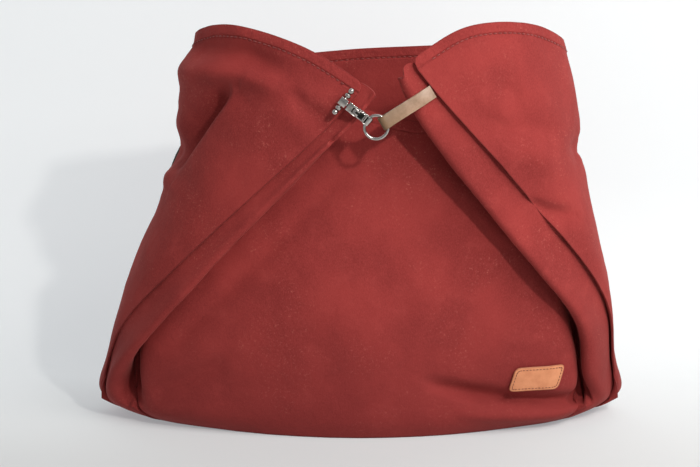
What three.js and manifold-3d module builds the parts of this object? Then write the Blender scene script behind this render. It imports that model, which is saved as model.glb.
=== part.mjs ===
// A soft leather bag that stands on its base. Its back panel wraps round both sides, and its
// two upper corners fold forward and meet in front: a snap hook on the left corner holds a
// ring on a leather tab that is sewn to the right one.
// Millimetres, +X to the right of the bag's front, +Y to its back, +Z up.
// The origin is on the surface that the bag stands on, under its middle.

import * as THREE from 'three';
import { mergeVertices } from 'three/addons/utils/BufferGeometryUtils.js';
import Module from 'manifold-3d';

const wasm = await Module();
wasm.setup();

// Leather body.
const halfWidth = 230;
const halfDepth = 75;
const height = 343;
const wall = 1.8;
const baseThickness = 2.4;
const foldWidth = 7;
const seamLap = 6;
const seamButt = 1.2;
const leftSeamStep = 2.8;
const rightSeamStep = 4.2;
const gap = 0.3;

// Snap hook, its shackle and its ring.
const hookAngle = -38;
const hookInset = 6;
const hookStandoff = 8.5;
const hookWidth = 7;
const hookBar = 1.6;
const hookReach = 23.8;
const hookNoseLength = 2.6;
const neckLength = 1.4;
const swivelSize = 6.4;
const swivelPostRadius = 1.5;
const swivelPostDepth = 3;
const pivotReach = 11.5;
const pivotPinRadius = 0.8;
const knuckleRadius = 1.8;
const gateTongueWidth = 3.6;
const gateThickness = 1.6;
const shackleWire = 2.8;
const shackleSpan = 12;
const shackleSlack = 1.2;
const shacklePinRadius = 1.2;
const shackleEyeWall = 1.1;
const shackleBallRadius = 2.5;
const ringWire = 2.5;
const ringRadius = 9.25;

// Leather tab, patch and strap.
const tabWidth = 10.5;
const tabLayer = 1.5;
const tabLoopSlack = 0.4;
const tabJoin = 6;
const tabRise = 2;
const tabBend = 13;
const tabEndGap = 1;
const patchWidth = 43;
const patchHeight = 21.5;
const patchThickness = 1.5;
const patchCorner = 4;
const patchSeat = 0.9;
const patchSpacing = 6;
const strapWidth = 22;
const strapThickness = 3;
const strapSeat = 0.9;
const rivetRadius = 2;
const rivetCapRadius = 5;
const rivetCapHeight = 1.6;

// The lines that run up the bag, from the front panel's middle round to the back.
// A level is a share of each line's own top height. Each x is a share of halfWidth away
// from the middle, and each y a share of halfDepth, with the back positive.
//   edge: the front panel's rounded side      pleat: the hidden inner fold behind it
//   fold: the free folded edge of the corner  seam: where the corner's outer layer ends
//   side: the outline seen from the front
const sideColumns = [
  'level', 'edgeX', 'edgeY', 'pleatX', 'pleatY', 'foldX', 'foldY', 'seamX', 'seamY', 'sideX', 'sideY',
];
const leftRows = [
  [0.00, 0.660, -0.52, 0.740, -0.38, 0.805, -0.23, 0.845, -0.06, 0.865, 0.08],
  [0.05, 0.760, -0.66, 0.845, -0.49, 0.920, -0.35, 0.970, -0.16, 0.990, 0.06],
  [0.14, 0.800, -0.62, 0.815, -0.10, 0.912, -0.50, 0.946, -0.22, 0.950, 0.03],
  [0.28, 0.775, -0.60, 0.855, -0.28, 0.776, -0.82, 0.885, -0.46, 0.898, 0.00],
  [0.44, 0.660, -0.67, 0.745, -0.50, 0.598, -1.03, 0.710, -0.88, 0.815, -0.03],
  [0.60, 0.545, -0.68, 0.625, -0.55, 0.420, -1.14, 0.505, -1.10, 0.715, -0.04],
  [0.76, 0.470, -0.64, 0.555, -0.50, 0.224, -1.22, 0.285, -1.24, 0.655, -0.06],
  [0.90, 0.410, -0.60, 0.510, -0.46, 0.073, -1.26, 0.095, -1.31, 0.655, -0.08],
  [1.00, 0.350, -0.58, 0.455, -0.42, -0.037, -1.23, -0.017, -1.28, 0.599, -0.10],
];
const rightRows = [
  [0.00, 0.660, -0.52, 0.740, -0.38, 0.805, -0.23, 0.845, -0.06, 0.865, 0.08],
  [0.05, 0.760, -0.65, 0.835, -0.49, 0.900, -0.36, 0.968, -0.16, 0.998, 0.10],
  [0.14, 0.795, -0.60, 0.820, -0.15, 0.835, -0.60, 0.942, -0.25, 0.953, 0.03],
  [0.28, 0.765, -0.63, 0.795, -0.10, 0.820, -0.68, 0.932, -0.28, 0.936, 0.00],
  [0.44, 0.690, -0.64, 0.775, -0.50, 0.660, -0.98, 0.818, -0.68, 0.888, -0.03],
  [0.60, 0.600, -0.64, 0.690, -0.52, 0.491, -1.12, 0.637, -1.00, 0.834, -0.04],
  [0.76, 0.500, -0.66, 0.620, -0.52, 0.320, -1.22, 0.452, -1.21, 0.817, -0.06],
  [0.90, 0.440, -0.63, 0.560, -0.50, 0.187, -1.24, 0.278, -1.29, 0.778, -0.08],
  [1.00, 0.380, -0.58, 0.500, -0.45, 0.126, -1.20, 0.166, -1.24, 0.737, -0.10],
];
const middleColumns = ['level', 'frontY', 'backY'];
const middleRows = [
  [0.00, -1.00, 0.75],
  [0.05, -1.07, 0.86],
  [0.14, -1.07, 0.90],
  [0.28, -1.06, 0.90],
  [0.44, -1.03, 0.88],
  [0.60, -0.98, 0.85],
  [0.76, -0.90, 0.81],
  [0.90, -0.83, 0.77],
  [1.00, -0.80, 0.74],
];
// Top heights of the lines, as shares of the bag's height.
const leftTops = {
  frontMid: 0.820, edge: 0.820, pleat: 0.835, fold: 0.840, seam: 0.866,
  earFront: 0.947, earSide: 0.992, side: 0.955, corner: 0.900, backMid: 0.892,
};
const rightTops = {
  frontMid: 0.765, edge: 0.770, pleat: 0.815, fold: 0.880, seam: 0.921,
  earFront: 0.994, earSide: 0.994, side: 0.939, corner: 0.930, backMid: 0.915,
};
const frontTop = 0.800;
const backTop = 0.905;
// Where the lines between two others lie, as shares of the way along x and y.
const earFrontWay = [0.33, 0.12];
const earSideWay = [0.75, 0.45];
const cornerWay = [0.20, 0.72];
const backMidWay = [0.58, 0.95];
const frontMidWay = [0.50, 0.25];
// The corner's outer layer butts against the gusset at the base and laps over it above.
const stepLevels = [0, 0.05];
const lapLevels = [0.06, 0.12];

// Soft creases seen from the front, from one point to another: x as shares of halfWidth,
// z and spread as shares of height, and depth as a share of halfDepth.
const creaseColumns = ['fromX', 'fromZ', 'toX', 'toZ', 'spread', 'depth'];
const cornerCreases = [
  [-0.42, 0.850, -0.69, 0.640, 0.060, 0.10],
  [0.66, 0.930, 0.80, 0.700, 0.050, 0.04],
];
const frontCreases = [
  [0.25, 0.145, 0.88, 0.060, 0.030, 0.05],
  [-0.70, 0.100, -0.20, 0.055, 0.035, 0.03],
];

// The strap's route from a rivet to the middle of its loop: x as shares of halfWidth,
// z as shares of height, out as a share of the way from its seat to where it hangs free,
// and turn as the angle of its width from the bag's width.
const strapColumns = ['x', 'out', 'z', 'turn'];
const strapRows = [
  [0.360, 0.00, 0.755, 7],
  [0.360, 0.00, 0.800, 7],
  [0.360, 0.04, 0.842, 7],
  [0.363, 0.35, 0.868, 7],
  [0.375, 0.76, 0.850, 7],
  [0.460, 0.96, 0.775, 8],
  [0.610, 1.00, 0.680, 26],
  [0.695, 1.00, 0.595, 46],
  [0.735, 1.00, 0.490, 70],
  [0.735, 1.00, 0.370, 90],
  [0.640, 1.00, 0.230, 90],
  [0.380, 1.00, 0.118, 90],
  [0.000, 1.00, 0.075, 90],
];
const rivetX = 0.360;
const rivetZ = 0.785;

// Where the fittings sit on the bag.
const hookLevel = 0.948;
const tabLevel = 0.925;
const patchX = 0.637;
const patchZ = 0.140;
const patchSlant = 0.27;

// Fineness of the faceted surfaces.
const stepsPerLevel = 2;
const roundSides = 12;
const arcSegments = 8;
const ballRings = 8;
const ringSides = 8;
const ringSegments = 28;
const patchRings = [0.25, 0.5, 0.75, 1];
const patchCornerSteps = 3;
const backSteps = Array(12).fill(4);
const frontSteps = [0, 2, 3, 3, 3, 3, 3, 3, 2, 0];
const gussetSteps = [0, 2, 4, 2, 2, 3, 1];
const strapSteps = 60;

const colours = {
  leather: 0x9c3a38,
  tan: 0xb08f6c,
  patch: 0xdb935f,
  strap: 0x6b5236,
  metal: 0xb9b4b0,
};

/** Turns rows of numbers into objects with named columns. */
function table(columns, rows) {
  return rows.map((row) => Object.fromEntries(columns.map((name, i) => [name, row[i]])));
}

const middle = table(middleColumns, middleRows);
const levelSteps = (middle.length - 1) * stepsPerLevel;
// The middle of each wall stays this far from the floor and, with a gap, from the base.
const lowest = wall * 0.75;
// A line of sight towards the bag starts this far from its middle.
const sightReach = halfDepth * 3;

/** The step up the bag that lies at a level. */
function stepAt(level) {
  const above = Math.max(1, middle.findIndex((row) => row.level >= level));
  const [from, to] = [middle[above - 1].level, middle[above].level];
  return (above - 1 + (level - from) / (to - from)) * stepsPerLevel;
}

/** A point of the bag from shares of its width, depth and height. */
function bodyPoint(xShare, yShare, level, top) {
  const z = lowest + level * (top * height - lowest);
  return new THREE.Vector3(xShare * halfWidth, yShare * halfDepth, z);
}

/** A point between a and b along x and y, at its own height. */
function wayPoint(a, b, [xWay, yWay], level, top) {
  const { lerp } = THREE.MathUtils;
  return bodyPoint(0, 0, level, top).setX(lerp(a.x, b.x, xWay)).setY(lerp(a.y, b.y, yWay));
}

/** The named lines of one side of the bag, each as its points from the base to the mouth. */
function sideLines(rows, tops, sign) {
  const points = table(sideColumns, rows).map((row, i) => {
    const { level } = row;
    const at = (name) => bodyPoint(sign * row[`${name}X`], row[`${name}Y`], level, tops[name]);
    const [edge, pleat, fold, seam, side] = ['edge', 'pleat', 'fold', 'seam', 'side'].map(at);
    const front = bodyPoint(0, middle[i].frontY, level, frontTop);
    const back = bodyPoint(0, middle[i].backY, level, backTop);
    return {
      edge, pleat, fold, seam, side,
      frontMid: wayPoint(front, edge, frontMidWay, level, tops.frontMid),
      earFront: wayPoint(seam, side, earFrontWay, level, tops.earFront),
      earSide: wayPoint(seam, side, earSideWay, level, tops.earSide),
      corner: wayPoint(side, back, cornerWay, level, tops.corner),
      backMid: wayPoint(side, back, backMidWay, level, tops.backMid),
    };
  });
  return Object.fromEntries(Object.keys(points[0]).map((name) => [name, points.map((p) => p[name])]));
}

const left = sideLines(leftRows, leftTops, -1);
const right = sideLines(rightRows, rightTops, 1);
const frontMiddle = middle.map((row) => bodyPoint(0, row.frontY, row.level, frontTop));
const backMiddle = middle.map((row) => bodyPoint(0, row.backY, row.level, backTop));

const vec = (x, y, z) => new THREE.Vector3(x, y, z);
const smoothCurve = (points) => new THREE.CatmullRomCurve3(points, false, 'centripetal');
const onLine = (points, step) => smoothCurve(points).getPoint(step / levelSteps);
const linesAt = (lines, names, step) => names.map((name) => onLine(lines[name], step));
const flat = (vector) => vector.setZ(0).normalize();

/** Three points round the tip of a soft fold, between the points before and after it. */
function foldTip(before, tip, after) {
  const toBefore = flat(before.clone().sub(tip));
  const toAfter = flat(after.clone().sub(tip));
  const across = toAfter.clone().sub(toBefore).normalize().multiplyScalar(foldWidth / 2);
  const nearBefore = tip.clone().addScaledVector(toBefore, foldWidth / 2).sub(across);
  const nearAfter = tip.clone().addScaledVector(toAfter, foldWidth / 2).add(across);
  return [nearBefore, tip, nearAfter];
}

/** The points across the front panel at a step, from past the right pleat to past the left one. */
function frontPoints(step) {
  const half = (lines) => {
    const [edge, pleat, fold, frontMid] = linesAt(lines, ['edge', 'pleat', 'fold', 'frontMid'], step);
    const [nearEdge, tip, beyond] = foldTip(edge, pleat, fold);
    return [beyond, tip, nearEdge, edge, frontMid];
  };
  return [...half(right), onLine(frontMiddle, step), ...half(left).reverse()];
}

/** The points round the back panel at a step, from the left corner's seam to the right one's. */
function backPoints(step) {
  const names = ['seam', 'earFront', 'earSide', 'side', 'corner', 'backMid'];
  const half = (lines) => linesAt(lines, names, step);
  return [...half(left), onLine(backMiddle, step), ...half(right).reverse()];
}

/** The directions at a step of a seam: along the corner's layer, and into the bag from it. */
function seamDirections(lines, step) {
  const [seam, earFront] = linesAt(lines, ['seam', 'earFront'], step);
  const neighbour = step + 1 <= levelSteps ? step + 1 : step - 1;
  const up = onLine(lines.seam, neighbour).sub(seam).multiplyScalar(neighbour - step);
  const along = earFront.sub(seam).normalize();
  const inward = up.cross(along).normalize();
  if (inward.x * seam.x + inward.y * seam.y > 0) inward.negate();
  return { along, inward };
}

/** The points across a gusset at a step, from before the pleat to under the corner's outer layer. */
function gussetPoints(lines, seamStep, step) {
  const [edge, pleat, fold, seam] = linesAt(lines, ['edge', 'pleat', 'fold', 'seam'], step);
  const { along, inward } = seamDirections(lines, step);
  const level = seam.z / lines.seam.at(-1).z;
  const { lerp, smoothstep } = THREE.MathUtils;
  const drop = seamStep * smoothstep(level, ...stepLevels);
  const lap = lerp(-seamButt, seamLap, smoothstep(level, ...lapLevels));
  const lowered = seam.clone().addScaledVector(inward, drop);
  const under = (distance) => lowered.clone().addScaledVector(along, distance);
  const beforeSeam = under(-seamLap);
  return [...foldTip(edge, pleat, fold), ...foldTip(pleat, fold, beforeSeam), beforeSeam, under(lap)];
}

/** The parameters along a curve with the given steps in each span. Its ends are trimmed. */
function curveParameters(curve, spanSteps, trims) {
  const spans = spanSteps.length;
  const within = (n, span) => Array.from({ length: n }, (_, k) => (span + k / n) / spans);
  const values = spanSteps.flatMap(within);
  values.push((spanSteps.findLastIndex((n) => n > 0) + 1) / spans);
  const last = values.length - 1;
  for (const [end, next, trim] of [[0, 1, trims[0]], [last, last - 1, trims[1]]]) {
    const length = curve.getPoint(values[end]).distanceTo(curve.getPoint(values[next]));
    values[end] += (values[next] - values[end]) * (trim / length);
  }
  return values;
}

/** A grid of points over a panel: a row for each step up, a column for each step across. */
function panelGrid(pointsAt, spanSteps, trims) {
  return Array.from({ length: levelSteps + 1 }, (_, step) => {
    const curve = smoothCurve(pointsAt(step));
    return curveParameters(curve, spanSteps, trims).map((t) => curve.getPoint(t));
  });
}

/** The outward unit normal at each point of a grid. */
function gridNormals(grid) {
  return grid.map((row, j) => row.map((_, i) => {
    const across = row[Math.min(i + 1, row.length - 1)].clone().sub(row[Math.max(i - 1, 0)]);
    const up = grid[Math.min(j + 1, grid.length - 1)][i].clone().sub(grid[Math.max(j - 1, 0)][i]);
    return up.cross(across).normalize();
  }));
}

/** How deep the creases are at a point of the bag. */
function creaseDepth(point, creases) {
  const seen = point.clone().setY(0);
  return table(creaseColumns, creases).reduce((sum, crease) => {
    const from = vec(crease.fromX * halfWidth, 0, crease.fromZ * height);
    const to = vec(crease.toX * halfWidth, 0, crease.toZ * height);
    const nearest = new THREE.Line3(from, to).closestPointToPoint(seen, true, vec(0, 0, 0));
    const distance = nearest.distanceTo(seen) / (crease.spread * height);
    return sum + crease.depth * halfDepth * Math.exp(-(distance ** 2));
  }, 0);
}

/** Presses creases into the part of a grid that faces the front. */
function creasedGrid(grid, creases) {
  const normals = gridNormals(grid);
  return grid.map((row, j) => row.map((point, i) => {
    if (point.y > 0) return point;
    return point.clone().addScaledVector(normals[j][i], -creaseDepth(point, creases));
  }));
}

/** Joins an outer and an inner sheet that have the same faces into one closed solid. */
function closedSheet(outer, inner, faces) {
  const count = outer.length;
  const edges = new Set(faces.flatMap(([a, b, c]) => [`${a},${b}`, `${b},${c}`, `${c},${a}`]));
  const index = faces.flatMap(([a, b, c]) => [a, b, c, a + count, c + count, b + count]);
  for (const edge of edges) {
    const [a, b] = edge.split(',').map(Number);
    if (!edges.has(`${b},${a}`)) index.push(b, a, a + count, b, a + count, b + count);
  }
  const geometry = new THREE.BufferGeometry().setFromPoints([...outer, ...inner]);
  geometry.setIndex(index);
  return geometry;
}

/** A wall of the given thickness whose middle is the grid. */
function gridSolid(grid, thickness) {
  const normals = gridNormals(grid);
  const columns = grid[0].length;
  const moved = (distance) => grid.flatMap(
    (row, j) => row.map((point, i) => point.clone().addScaledVector(normals[j][i], distance)),
  );
  const faces = [];
  for (let j = 0; j + 1 < grid.length; j++) {
    for (let i = 0; i + 1 < columns; i++) {
      const [a, b] = [j * columns + i, (j + 1) * columns + i];
      faces.push([a, b, b + 1], [a, b + 1, a + 1]);
    }
  }
  return closedSheet(moved(thickness / 2), moved(-thickness / 2), faces);
}

/** A geometry as a solid that can be joined and cut. */
function toSolid(geometry) {
  const plain = geometry.clone();
  plain.deleteAttribute('normal');
  plain.deleteAttribute('uv');
  const merged = mergeVertices(plain);
  const vertProperties = new Float32Array(merged.attributes.position.array);
  const triVerts = new Uint32Array(merged.index.array);
  return new wasm.Manifold(new wasm.Mesh({ numProp: 3, vertProperties, triVerts }));
}

/** Joins some geometries and cuts others out of them. */
function carved(added, removed = []) {
  const joined = added.map(toSolid).reduce((a, b) => a.add(b));
  const cut = removed.map(toSolid).reduce((a, b) => a.subtract(b), joined);
  const { vertProperties, triVerts } = cut.getMesh();
  const geometry = new THREE.BufferGeometry();
  geometry.setAttribute('position', new THREE.BufferAttribute(vertProperties, 3));
  geometry.setIndex(new THREE.BufferAttribute(triVerts, 1));
  return geometry;
}

/** A round rod between two points. */
function rod(radius, from, to) {
  const axis = to.clone().sub(from);
  const centre = from.clone().add(to).multiplyScalar(0.5);
  const geometry = new THREE.CylinderGeometry(radius, radius, axis.length(), roundSides);
  geometry.applyQuaternion(new THREE.Quaternion().setFromUnitVectors(vec(0, 1, 0), axis.normalize()));
  return geometry.translate(centre.x, centre.y, centre.z);
}

/** A box between two corners. */
function block(from, to) {
  const size = to.clone().sub(from);
  const centre = from.clone().add(to).multiplyScalar(0.5);
  return new THREE.BoxGeometry(size.x, size.y, size.z).translate(centre.x, centre.y, centre.z);
}

/** An outline in x and z drawn out to both sides along y. */
function profile(outline, width) {
  const options = { depth: width, bevelEnabled: false, curveSegments: arcSegments };
  const geometry = new THREE.ExtrudeGeometry(outline, options);
  return geometry.translate(0, 0, -width / 2).rotateX(Math.PI / 2);
}

/** A named mesh with its own material. */
function piece(name, geometry, color, roughness, metalness) {
  const material = new THREE.MeshStandardMaterial({ color, roughness, metalness });
  const mesh = new THREE.Mesh(geometry, material);
  mesh.name = name;
  return mesh;
}

const leatherPiece = (name, geometry, colour) => piece(name, geometry, colour ?? colours.leather, 0.85, 0);
const metalPiece = (name, geometry) => piece(name, geometry, colours.metal, 0.3, 1);

/** A group whose x, y and z run along the given directions from an origin. */
function placedGroup(origin, along, across, out) {
  const group = new THREE.Group();
  group.position.copy(origin);
  group.quaternion.setFromRotationMatrix(new THREE.Matrix4().makeBasis(along, across, out));
  return group;
}

/** Where a line that starts at a point first meets a mesh. */
function meet(mesh, from, direction) {
  return new THREE.Raycaster(from, direction).intersectObject(mesh)[0];
}

/** The mean direction in which a surface faces where some lines meet it. */
function meanNormal(hits) {
  return hits.reduce((sum, hit) => sum.add(hit.face.normal), vec(0, 0, 0)).normalize();
}

/** The grids of the four wall panels. */
function wallGrids() {
  const butt = gap / 2 + wall / 3;
  const leftGusset = (step) => gussetPoints(left, leftSeamStep, step);
  const rightGusset = (step) => gussetPoints(right, rightSeamStep, step).reverse();
  return {
    front: creasedGrid(panelGrid(frontPoints, frontSteps, [butt, butt]), frontCreases),
    back: creasedGrid(panelGrid(backPoints, backSteps, [0, 0]), cornerCreases),
    left: panelGrid(leftGusset, gussetSteps, [butt, 0]),
    right: panelGrid(rightGusset, gussetSteps.toReversed(), [0, butt]),
  };
}

/** The flat base inside the lower edges of the wall. */
function basePanel(grids) {
  const loop = [grids.back, grids.right, grids.front, grids.left].flatMap((grid) => grid[0]);
  const inset = lowest + gap;
  const outline = loop.map((point, i) => {
    const next = loop[(i + 1) % loop.length];
    const previous = loop[(i + loop.length - 1) % loop.length];
    const run = flat(next.clone().sub(previous));
    return new THREE.Vector2(point.x + run.y * inset, point.y - run.x * inset);
  });
  const options = { depth: baseThickness, bevelEnabled: false };
  return new THREE.ExtrudeGeometry(new THREE.Shape(outline), options);
}

/** The rim of a rounded rectangle round the origin, as x and y, with no two points far apart. */
function roundedRim(width, tall, radius, spacing) {
  const turns = Array.from({ length: patchCornerSteps + 1 }, (_, k) => k / patchCornerSteps);
  const corners = [[1, 1], [-1, 1], [-1, -1], [1, -1]];
  const rim = corners.flatMap(([sx, sy], quarter) => turns.map((turn) => {
    const angle = (quarter + turn) * Math.PI / 2;
    const centre = new THREE.Vector2(sx * (width / 2 - radius), sy * (tall / 2 - radius));
    return centre.add(new THREE.Vector2(Math.cos(angle), Math.sin(angle)).multiplyScalar(radius));
  }));
  return rim.flatMap((point, i) => {
    const next = rim[(i + 1) % rim.length];
    const parts = Math.ceil(point.distanceTo(next) / spacing);
    return Array.from({ length: parts }, (_, k) => point.clone().lerp(next, k / parts));
  });
}

/** The round-cornered, slanted patch that follows the front panel. */
function patchGeometry(frontPanel) {
  const rim = roundedRim(patchWidth, patchHeight, patchCorner, patchSpacing);
  const ring = (share) => rim.map((point) => point.clone().multiplyScalar(share));
  const plan = [new THREE.Vector2(), ...patchRings.flatMap(ring)];
  const hits = plan.map(({ x, y }) => meet(
    frontPanel,
    vec(patchX * halfWidth + x + y * patchSlant, -sightReach, patchZ * height + y),
    vec(0, 1, 0),
  ));
  const faces = [];
  const count = rim.length;
  for (let i = 0; i < count; i++) {
    const next = (i + 1) % count;
    faces.push([0, 1 + i, 1 + next]);
    for (let k = 1; k < patchRings.length; k++) {
      const [a, b] = [1 + (k - 1) * count, 1 + k * count];
      faces.push([a + i, b + i, b + next], [a + i, b + next, a + next]);
    }
  }
  const outward = meanNormal(hits);
  const raised = (distance) => hits.map((hit) => hit.point.clone().addScaledVector(outward, distance));
  return closedSheet(raised(patchSeat + patchThickness), raised(patchSeat), faces);
}

/** How far back the strap's middle lies where it rests on the back panel at a height. */
function seatY(backPanel, sign, z) {
  const edges = [-1, 1].map((side) => meet(
    backPanel,
    vec(sign * rivetX * halfWidth + side * strapWidth / 2, sightReach, z),
    vec(0, -1, 0),
  ).point.y);
  return (edges[0] + edges[1]) / 2 + strapSeat + strapThickness / 2;
}

/** The strap's middle points and turns from one rivet round its loop to the other. */
function strapRoute(backPanel) {
  const rows = table(strapColumns, strapRows);
  const bulge = Math.max(...middle.map((row) => row.backY)) * halfDepth;
  const hangY = bulge + wall / 2 + gap + strapWidth / 2;
  const stop = (row, sign) => {
    const z = row.z * height;
    const seat = seatY(backPanel, sign, row.out > 0 ? rivetZ * height : z);
    return vec(sign * row.x * halfWidth, THREE.MathUtils.lerp(seat, hangY, row.out), z);
  };
  const leftHalf = rows.map((row) => ({ at: stop(row, -1), turn: row.turn }));
  const rightHalf = rows.map((row) => ({ at: stop(row, 1), turn: 180 - row.turn })).reverse();
  return [...leftHalf, ...rightHalf.slice(1)];
}

/** The strap's four-cornered cross-sections along its route. */
function strapSections(backPanel) {
  const route = strapRoute(backPanel);
  const path = smoothCurve(route.map((stop) => stop.at));
  const turns = smoothCurve(route.map((stop, i) => vec(i, stop.turn / 90, 0)));
  return Array.from({ length: strapSteps + 1 }, (_, i) => {
    const t = i / strapSteps;
    const centre = path.getPoint(t);
    const run = path.getTangent(t);
    const turn = turns.getPoint(t).y * Math.PI / 2;
    const across = vec(Math.cos(turn), Math.sin(turn), 0);
    across.addScaledVector(run, -across.dot(run)).normalize();
    const out = across.clone().cross(run);
    return [[-1, -1], [1, -1], [1, 1], [-1, 1]].map(([a, b]) => centre.clone()
      .addScaledVector(across, a * strapWidth / 2).addScaledVector(out, b * strapThickness / 2));
  });
}

/** A closed solid through four-cornered cross-sections. */
function sweptSolid(sections) {
  const index = [0, 1, 2, 0, 2, 3];
  for (let s = 0; s + 1 < sections.length; s++) {
    for (let k = 0; k < 4; k++) {
      const [a, b] = [4 * s + k, 4 * s + (k + 1) % 4];
      index.push(a, b + 4, b, a, a + 4, b + 4);
    }
  }
  const end = 4 * (sections.length - 1);
  index.push(end, end + 2, end + 1, end, end + 3, end + 2);
  const geometry = new THREE.BufferGeometry().setFromPoints(sections.flat());
  geometry.setIndex(index);
  return geometry;
}

/** Where a rivet passes through the back panel, and the way it points. */
function rivetPlace(backPanel, sign) {
  const spread = [[0, 0], [-1, 0], [1, 0], [0, -1], [0, 1]];
  const middleFrom = vec(sign * rivetX * halfWidth, sightReach, rivetZ * height);
  const hits = spread.map(([x, z]) => meet(
    backPanel,
    vec(x, 0, z).multiplyScalar(rivetCapRadius).add(middleFrom),
    vec(0, -1, 0),
  ));
  const [{ point }] = hits;
  const normal = meanNormal(hits);
  return {
    outside: seatY(backPanel, sign, point.z) - point.y + strapThickness / 2 + strapSeat,
    inside: -wall - strapSeat,
    at: (distance) => point.clone().addScaledVector(normal, distance),
  };
}

/** A rivet with a cap inside the panel and one outside the strap. */
function rivetGeometry({ at, inside, outside }) {
  return carved([
    rod(rivetRadius, at(inside - rivetCapHeight / 2), at(outside + rivetCapHeight / 2)),
    rod(rivetCapRadius, at(inside - rivetCapHeight), at(inside)),
    rod(rivetCapRadius, at(outside), at(outside + rivetCapHeight)),
  ]);
}

// Distances along the snap hook from the middle of its swivel. Across it, the ring's wire
// bows away from a straight line by its sag.
const ringSag = (width) => ringRadius - Math.sqrt(ringRadius ** 2 - (width / 2) ** 2);
const crookInner = ringWire / 2 + gap + ringSag(hookWidth) / 2;
const crookOuter = crookInner + hookBar;
const hookStart = swivelSize / 2 + neckLength;
const noseStart = hookReach - hookNoseLength;
const ringReach = hookReach + ringRadius - ringSag(hookWidth) / 2;
const cheekEnd = pivotReach + knuckleRadius + 2 * gap;
const pivotHeight = crookOuter - knuckleRadius;
const pivotEnd = hookWidth / 2 + gap;

/** A rod along the axis of the gate's hinge. */
function pivotRod(radius, halfLength) {
  return rod(radius, vec(pivotReach, -halfLength, pivotHeight), vec(pivotReach, halfLength, pivotHeight));
}

/** The hook: a spine under the gate, a crook round the ring and cheeks beside the gate's hinge. */
function hookBody() {
  const outline = new THREE.Shape();
  outline.moveTo(hookStart, -crookOuter);
  outline.lineTo(hookReach, -crookOuter);
  outline.absarc(hookReach, 0, crookOuter, -Math.PI / 2, Math.PI / 2, false);
  outline.lineTo(noseStart, crookOuter);
  outline.lineTo(noseStart, crookInner);
  outline.absarc(hookReach, 0, crookInner, Math.PI / 2, -Math.PI / 2, true);
  outline.lineTo(cheekEnd, -crookInner);
  outline.lineTo(cheekEnd, crookOuter);
  outline.lineTo(hookStart, crookOuter);
  const slotSide = gateTongueWidth / 2 + gap;
  const slotStart = pivotReach - knuckleRadius - 2 * gap;
  const slot = block(vec(slotStart, -slotSide, -crookInner), vec(noseStart, slotSide, 2 * crookOuter));
  const pivotBore = pivotRod(pivotPinRadius + gap, hookWidth);
  const postEnd = hookStart + swivelPostDepth + gap;
  const postBore = rod(swivelPostRadius + gap, vec(0, 0, 0), vec(postEnd, 0, 0));
  return carved([profile(outline, hookWidth)], [slot, pivotBore, postBore]);
}

/** The gate: a plate over the hook's mouth and a tongue that turns on its pin. */
function hookGate() {
  const side = gateTongueWidth / 2;
  const plateSide = hookWidth / 2 - gap;
  const plateUnder = crookOuter - gateThickness;
  const tip = noseStart - 2 * gap;
  const knuckle = pivotRod(knuckleRadius, side);
  const tongue = block(vec(pivotReach, -side, plateUnder), vec(tip, side, crookOuter));
  const plate = block(vec(cheekEnd + 2 * gap, -plateSide, plateUnder), vec(tip, plateSide, crookOuter));
  return carved([knuckle, tongue, plate], [pivotRod(pivotPinRadius + gap, hookWidth)]);
}

/** The swivel: an eye on the shackle's pin and a post that turns in the hook. */
function hookSwivel() {
  const half = swivelSize / 2;
  const eye = block(vec(-half, -half, -half), vec(half, half, half));
  const post = rod(swivelPostRadius, vec(0, 0, 0), vec(hookStart + swivelPostDepth, 0, 0));
  const bore = rod(shacklePinRadius + gap, vec(0, -swivelSize, 0), vec(0, swivelSize, 0));
  return carved([eye, post], [bore]);
}

const shackleEyeHalf = shackleWire / 2;
const shackleDepth = hookStandoff + leftSeamStep + (wall + shackleWire) / 2 + gap + shackleSlack;

/** The shackle: two legs that pass through the leather from a bow behind it to eyes in front. */
function hookShackle() {
  const eyeRadius = shacklePinRadius + gap + shackleEyeWall;
  const legs = [-1, 1].flatMap((sign) => {
    const y = sign * shackleSpan / 2;
    return [
      rod(shackleWire / 2, vec(0, y, -shackleDepth), vec(0, y, 0)),
      rod(eyeRadius, vec(0, y - shackleEyeHalf, 0), vec(0, y + shackleEyeHalf, 0)),
    ];
  });
  const bowEnd = (shackleSpan + shackleWire) / 2;
  const bow = rod(shackleWire / 2, vec(0, -bowEnd, -shackleDepth), vec(0, bowEnd, -shackleDepth));
  const bore = rod(shacklePinRadius + gap, vec(0, -shackleSpan, 0), vec(0, shackleSpan, 0));
  return carved([...legs, bow], [bore]);
}

/** The shackle's pin with a ball at each end. */
function shacklePin() {
  const ballY = shackleSpan / 2 + shackleEyeHalf + gap + shackleBallRadius;
  const balls = [-1, 1].map((sign) => {
    return new THREE.SphereGeometry(shackleBallRadius, roundSides, ballRings).translate(0, sign * ballY, 0);
  });
  return carved([rod(shacklePinRadius, vec(0, -ballY, 0), vec(0, ballY, 0)), ...balls]);
}

/** The place and directions of the snap hook on the left corner. */
function hookPlace() {
  const layer = smoothCurve(backPoints(stepAt(hookLevel)));
  const seat = layer.getPointAt(hookInset / layer.getLength());
  const turn = THREE.MathUtils.degToRad(hookAngle);
  return {
    origin: seat.clone().setY(seat.y - hookStandoff),
    along: vec(Math.cos(turn), 0, Math.sin(turn)),
    across: vec(-Math.sin(turn), 0, Math.cos(turn)),
    out: vec(0, -1, 0),
  };
}

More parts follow.
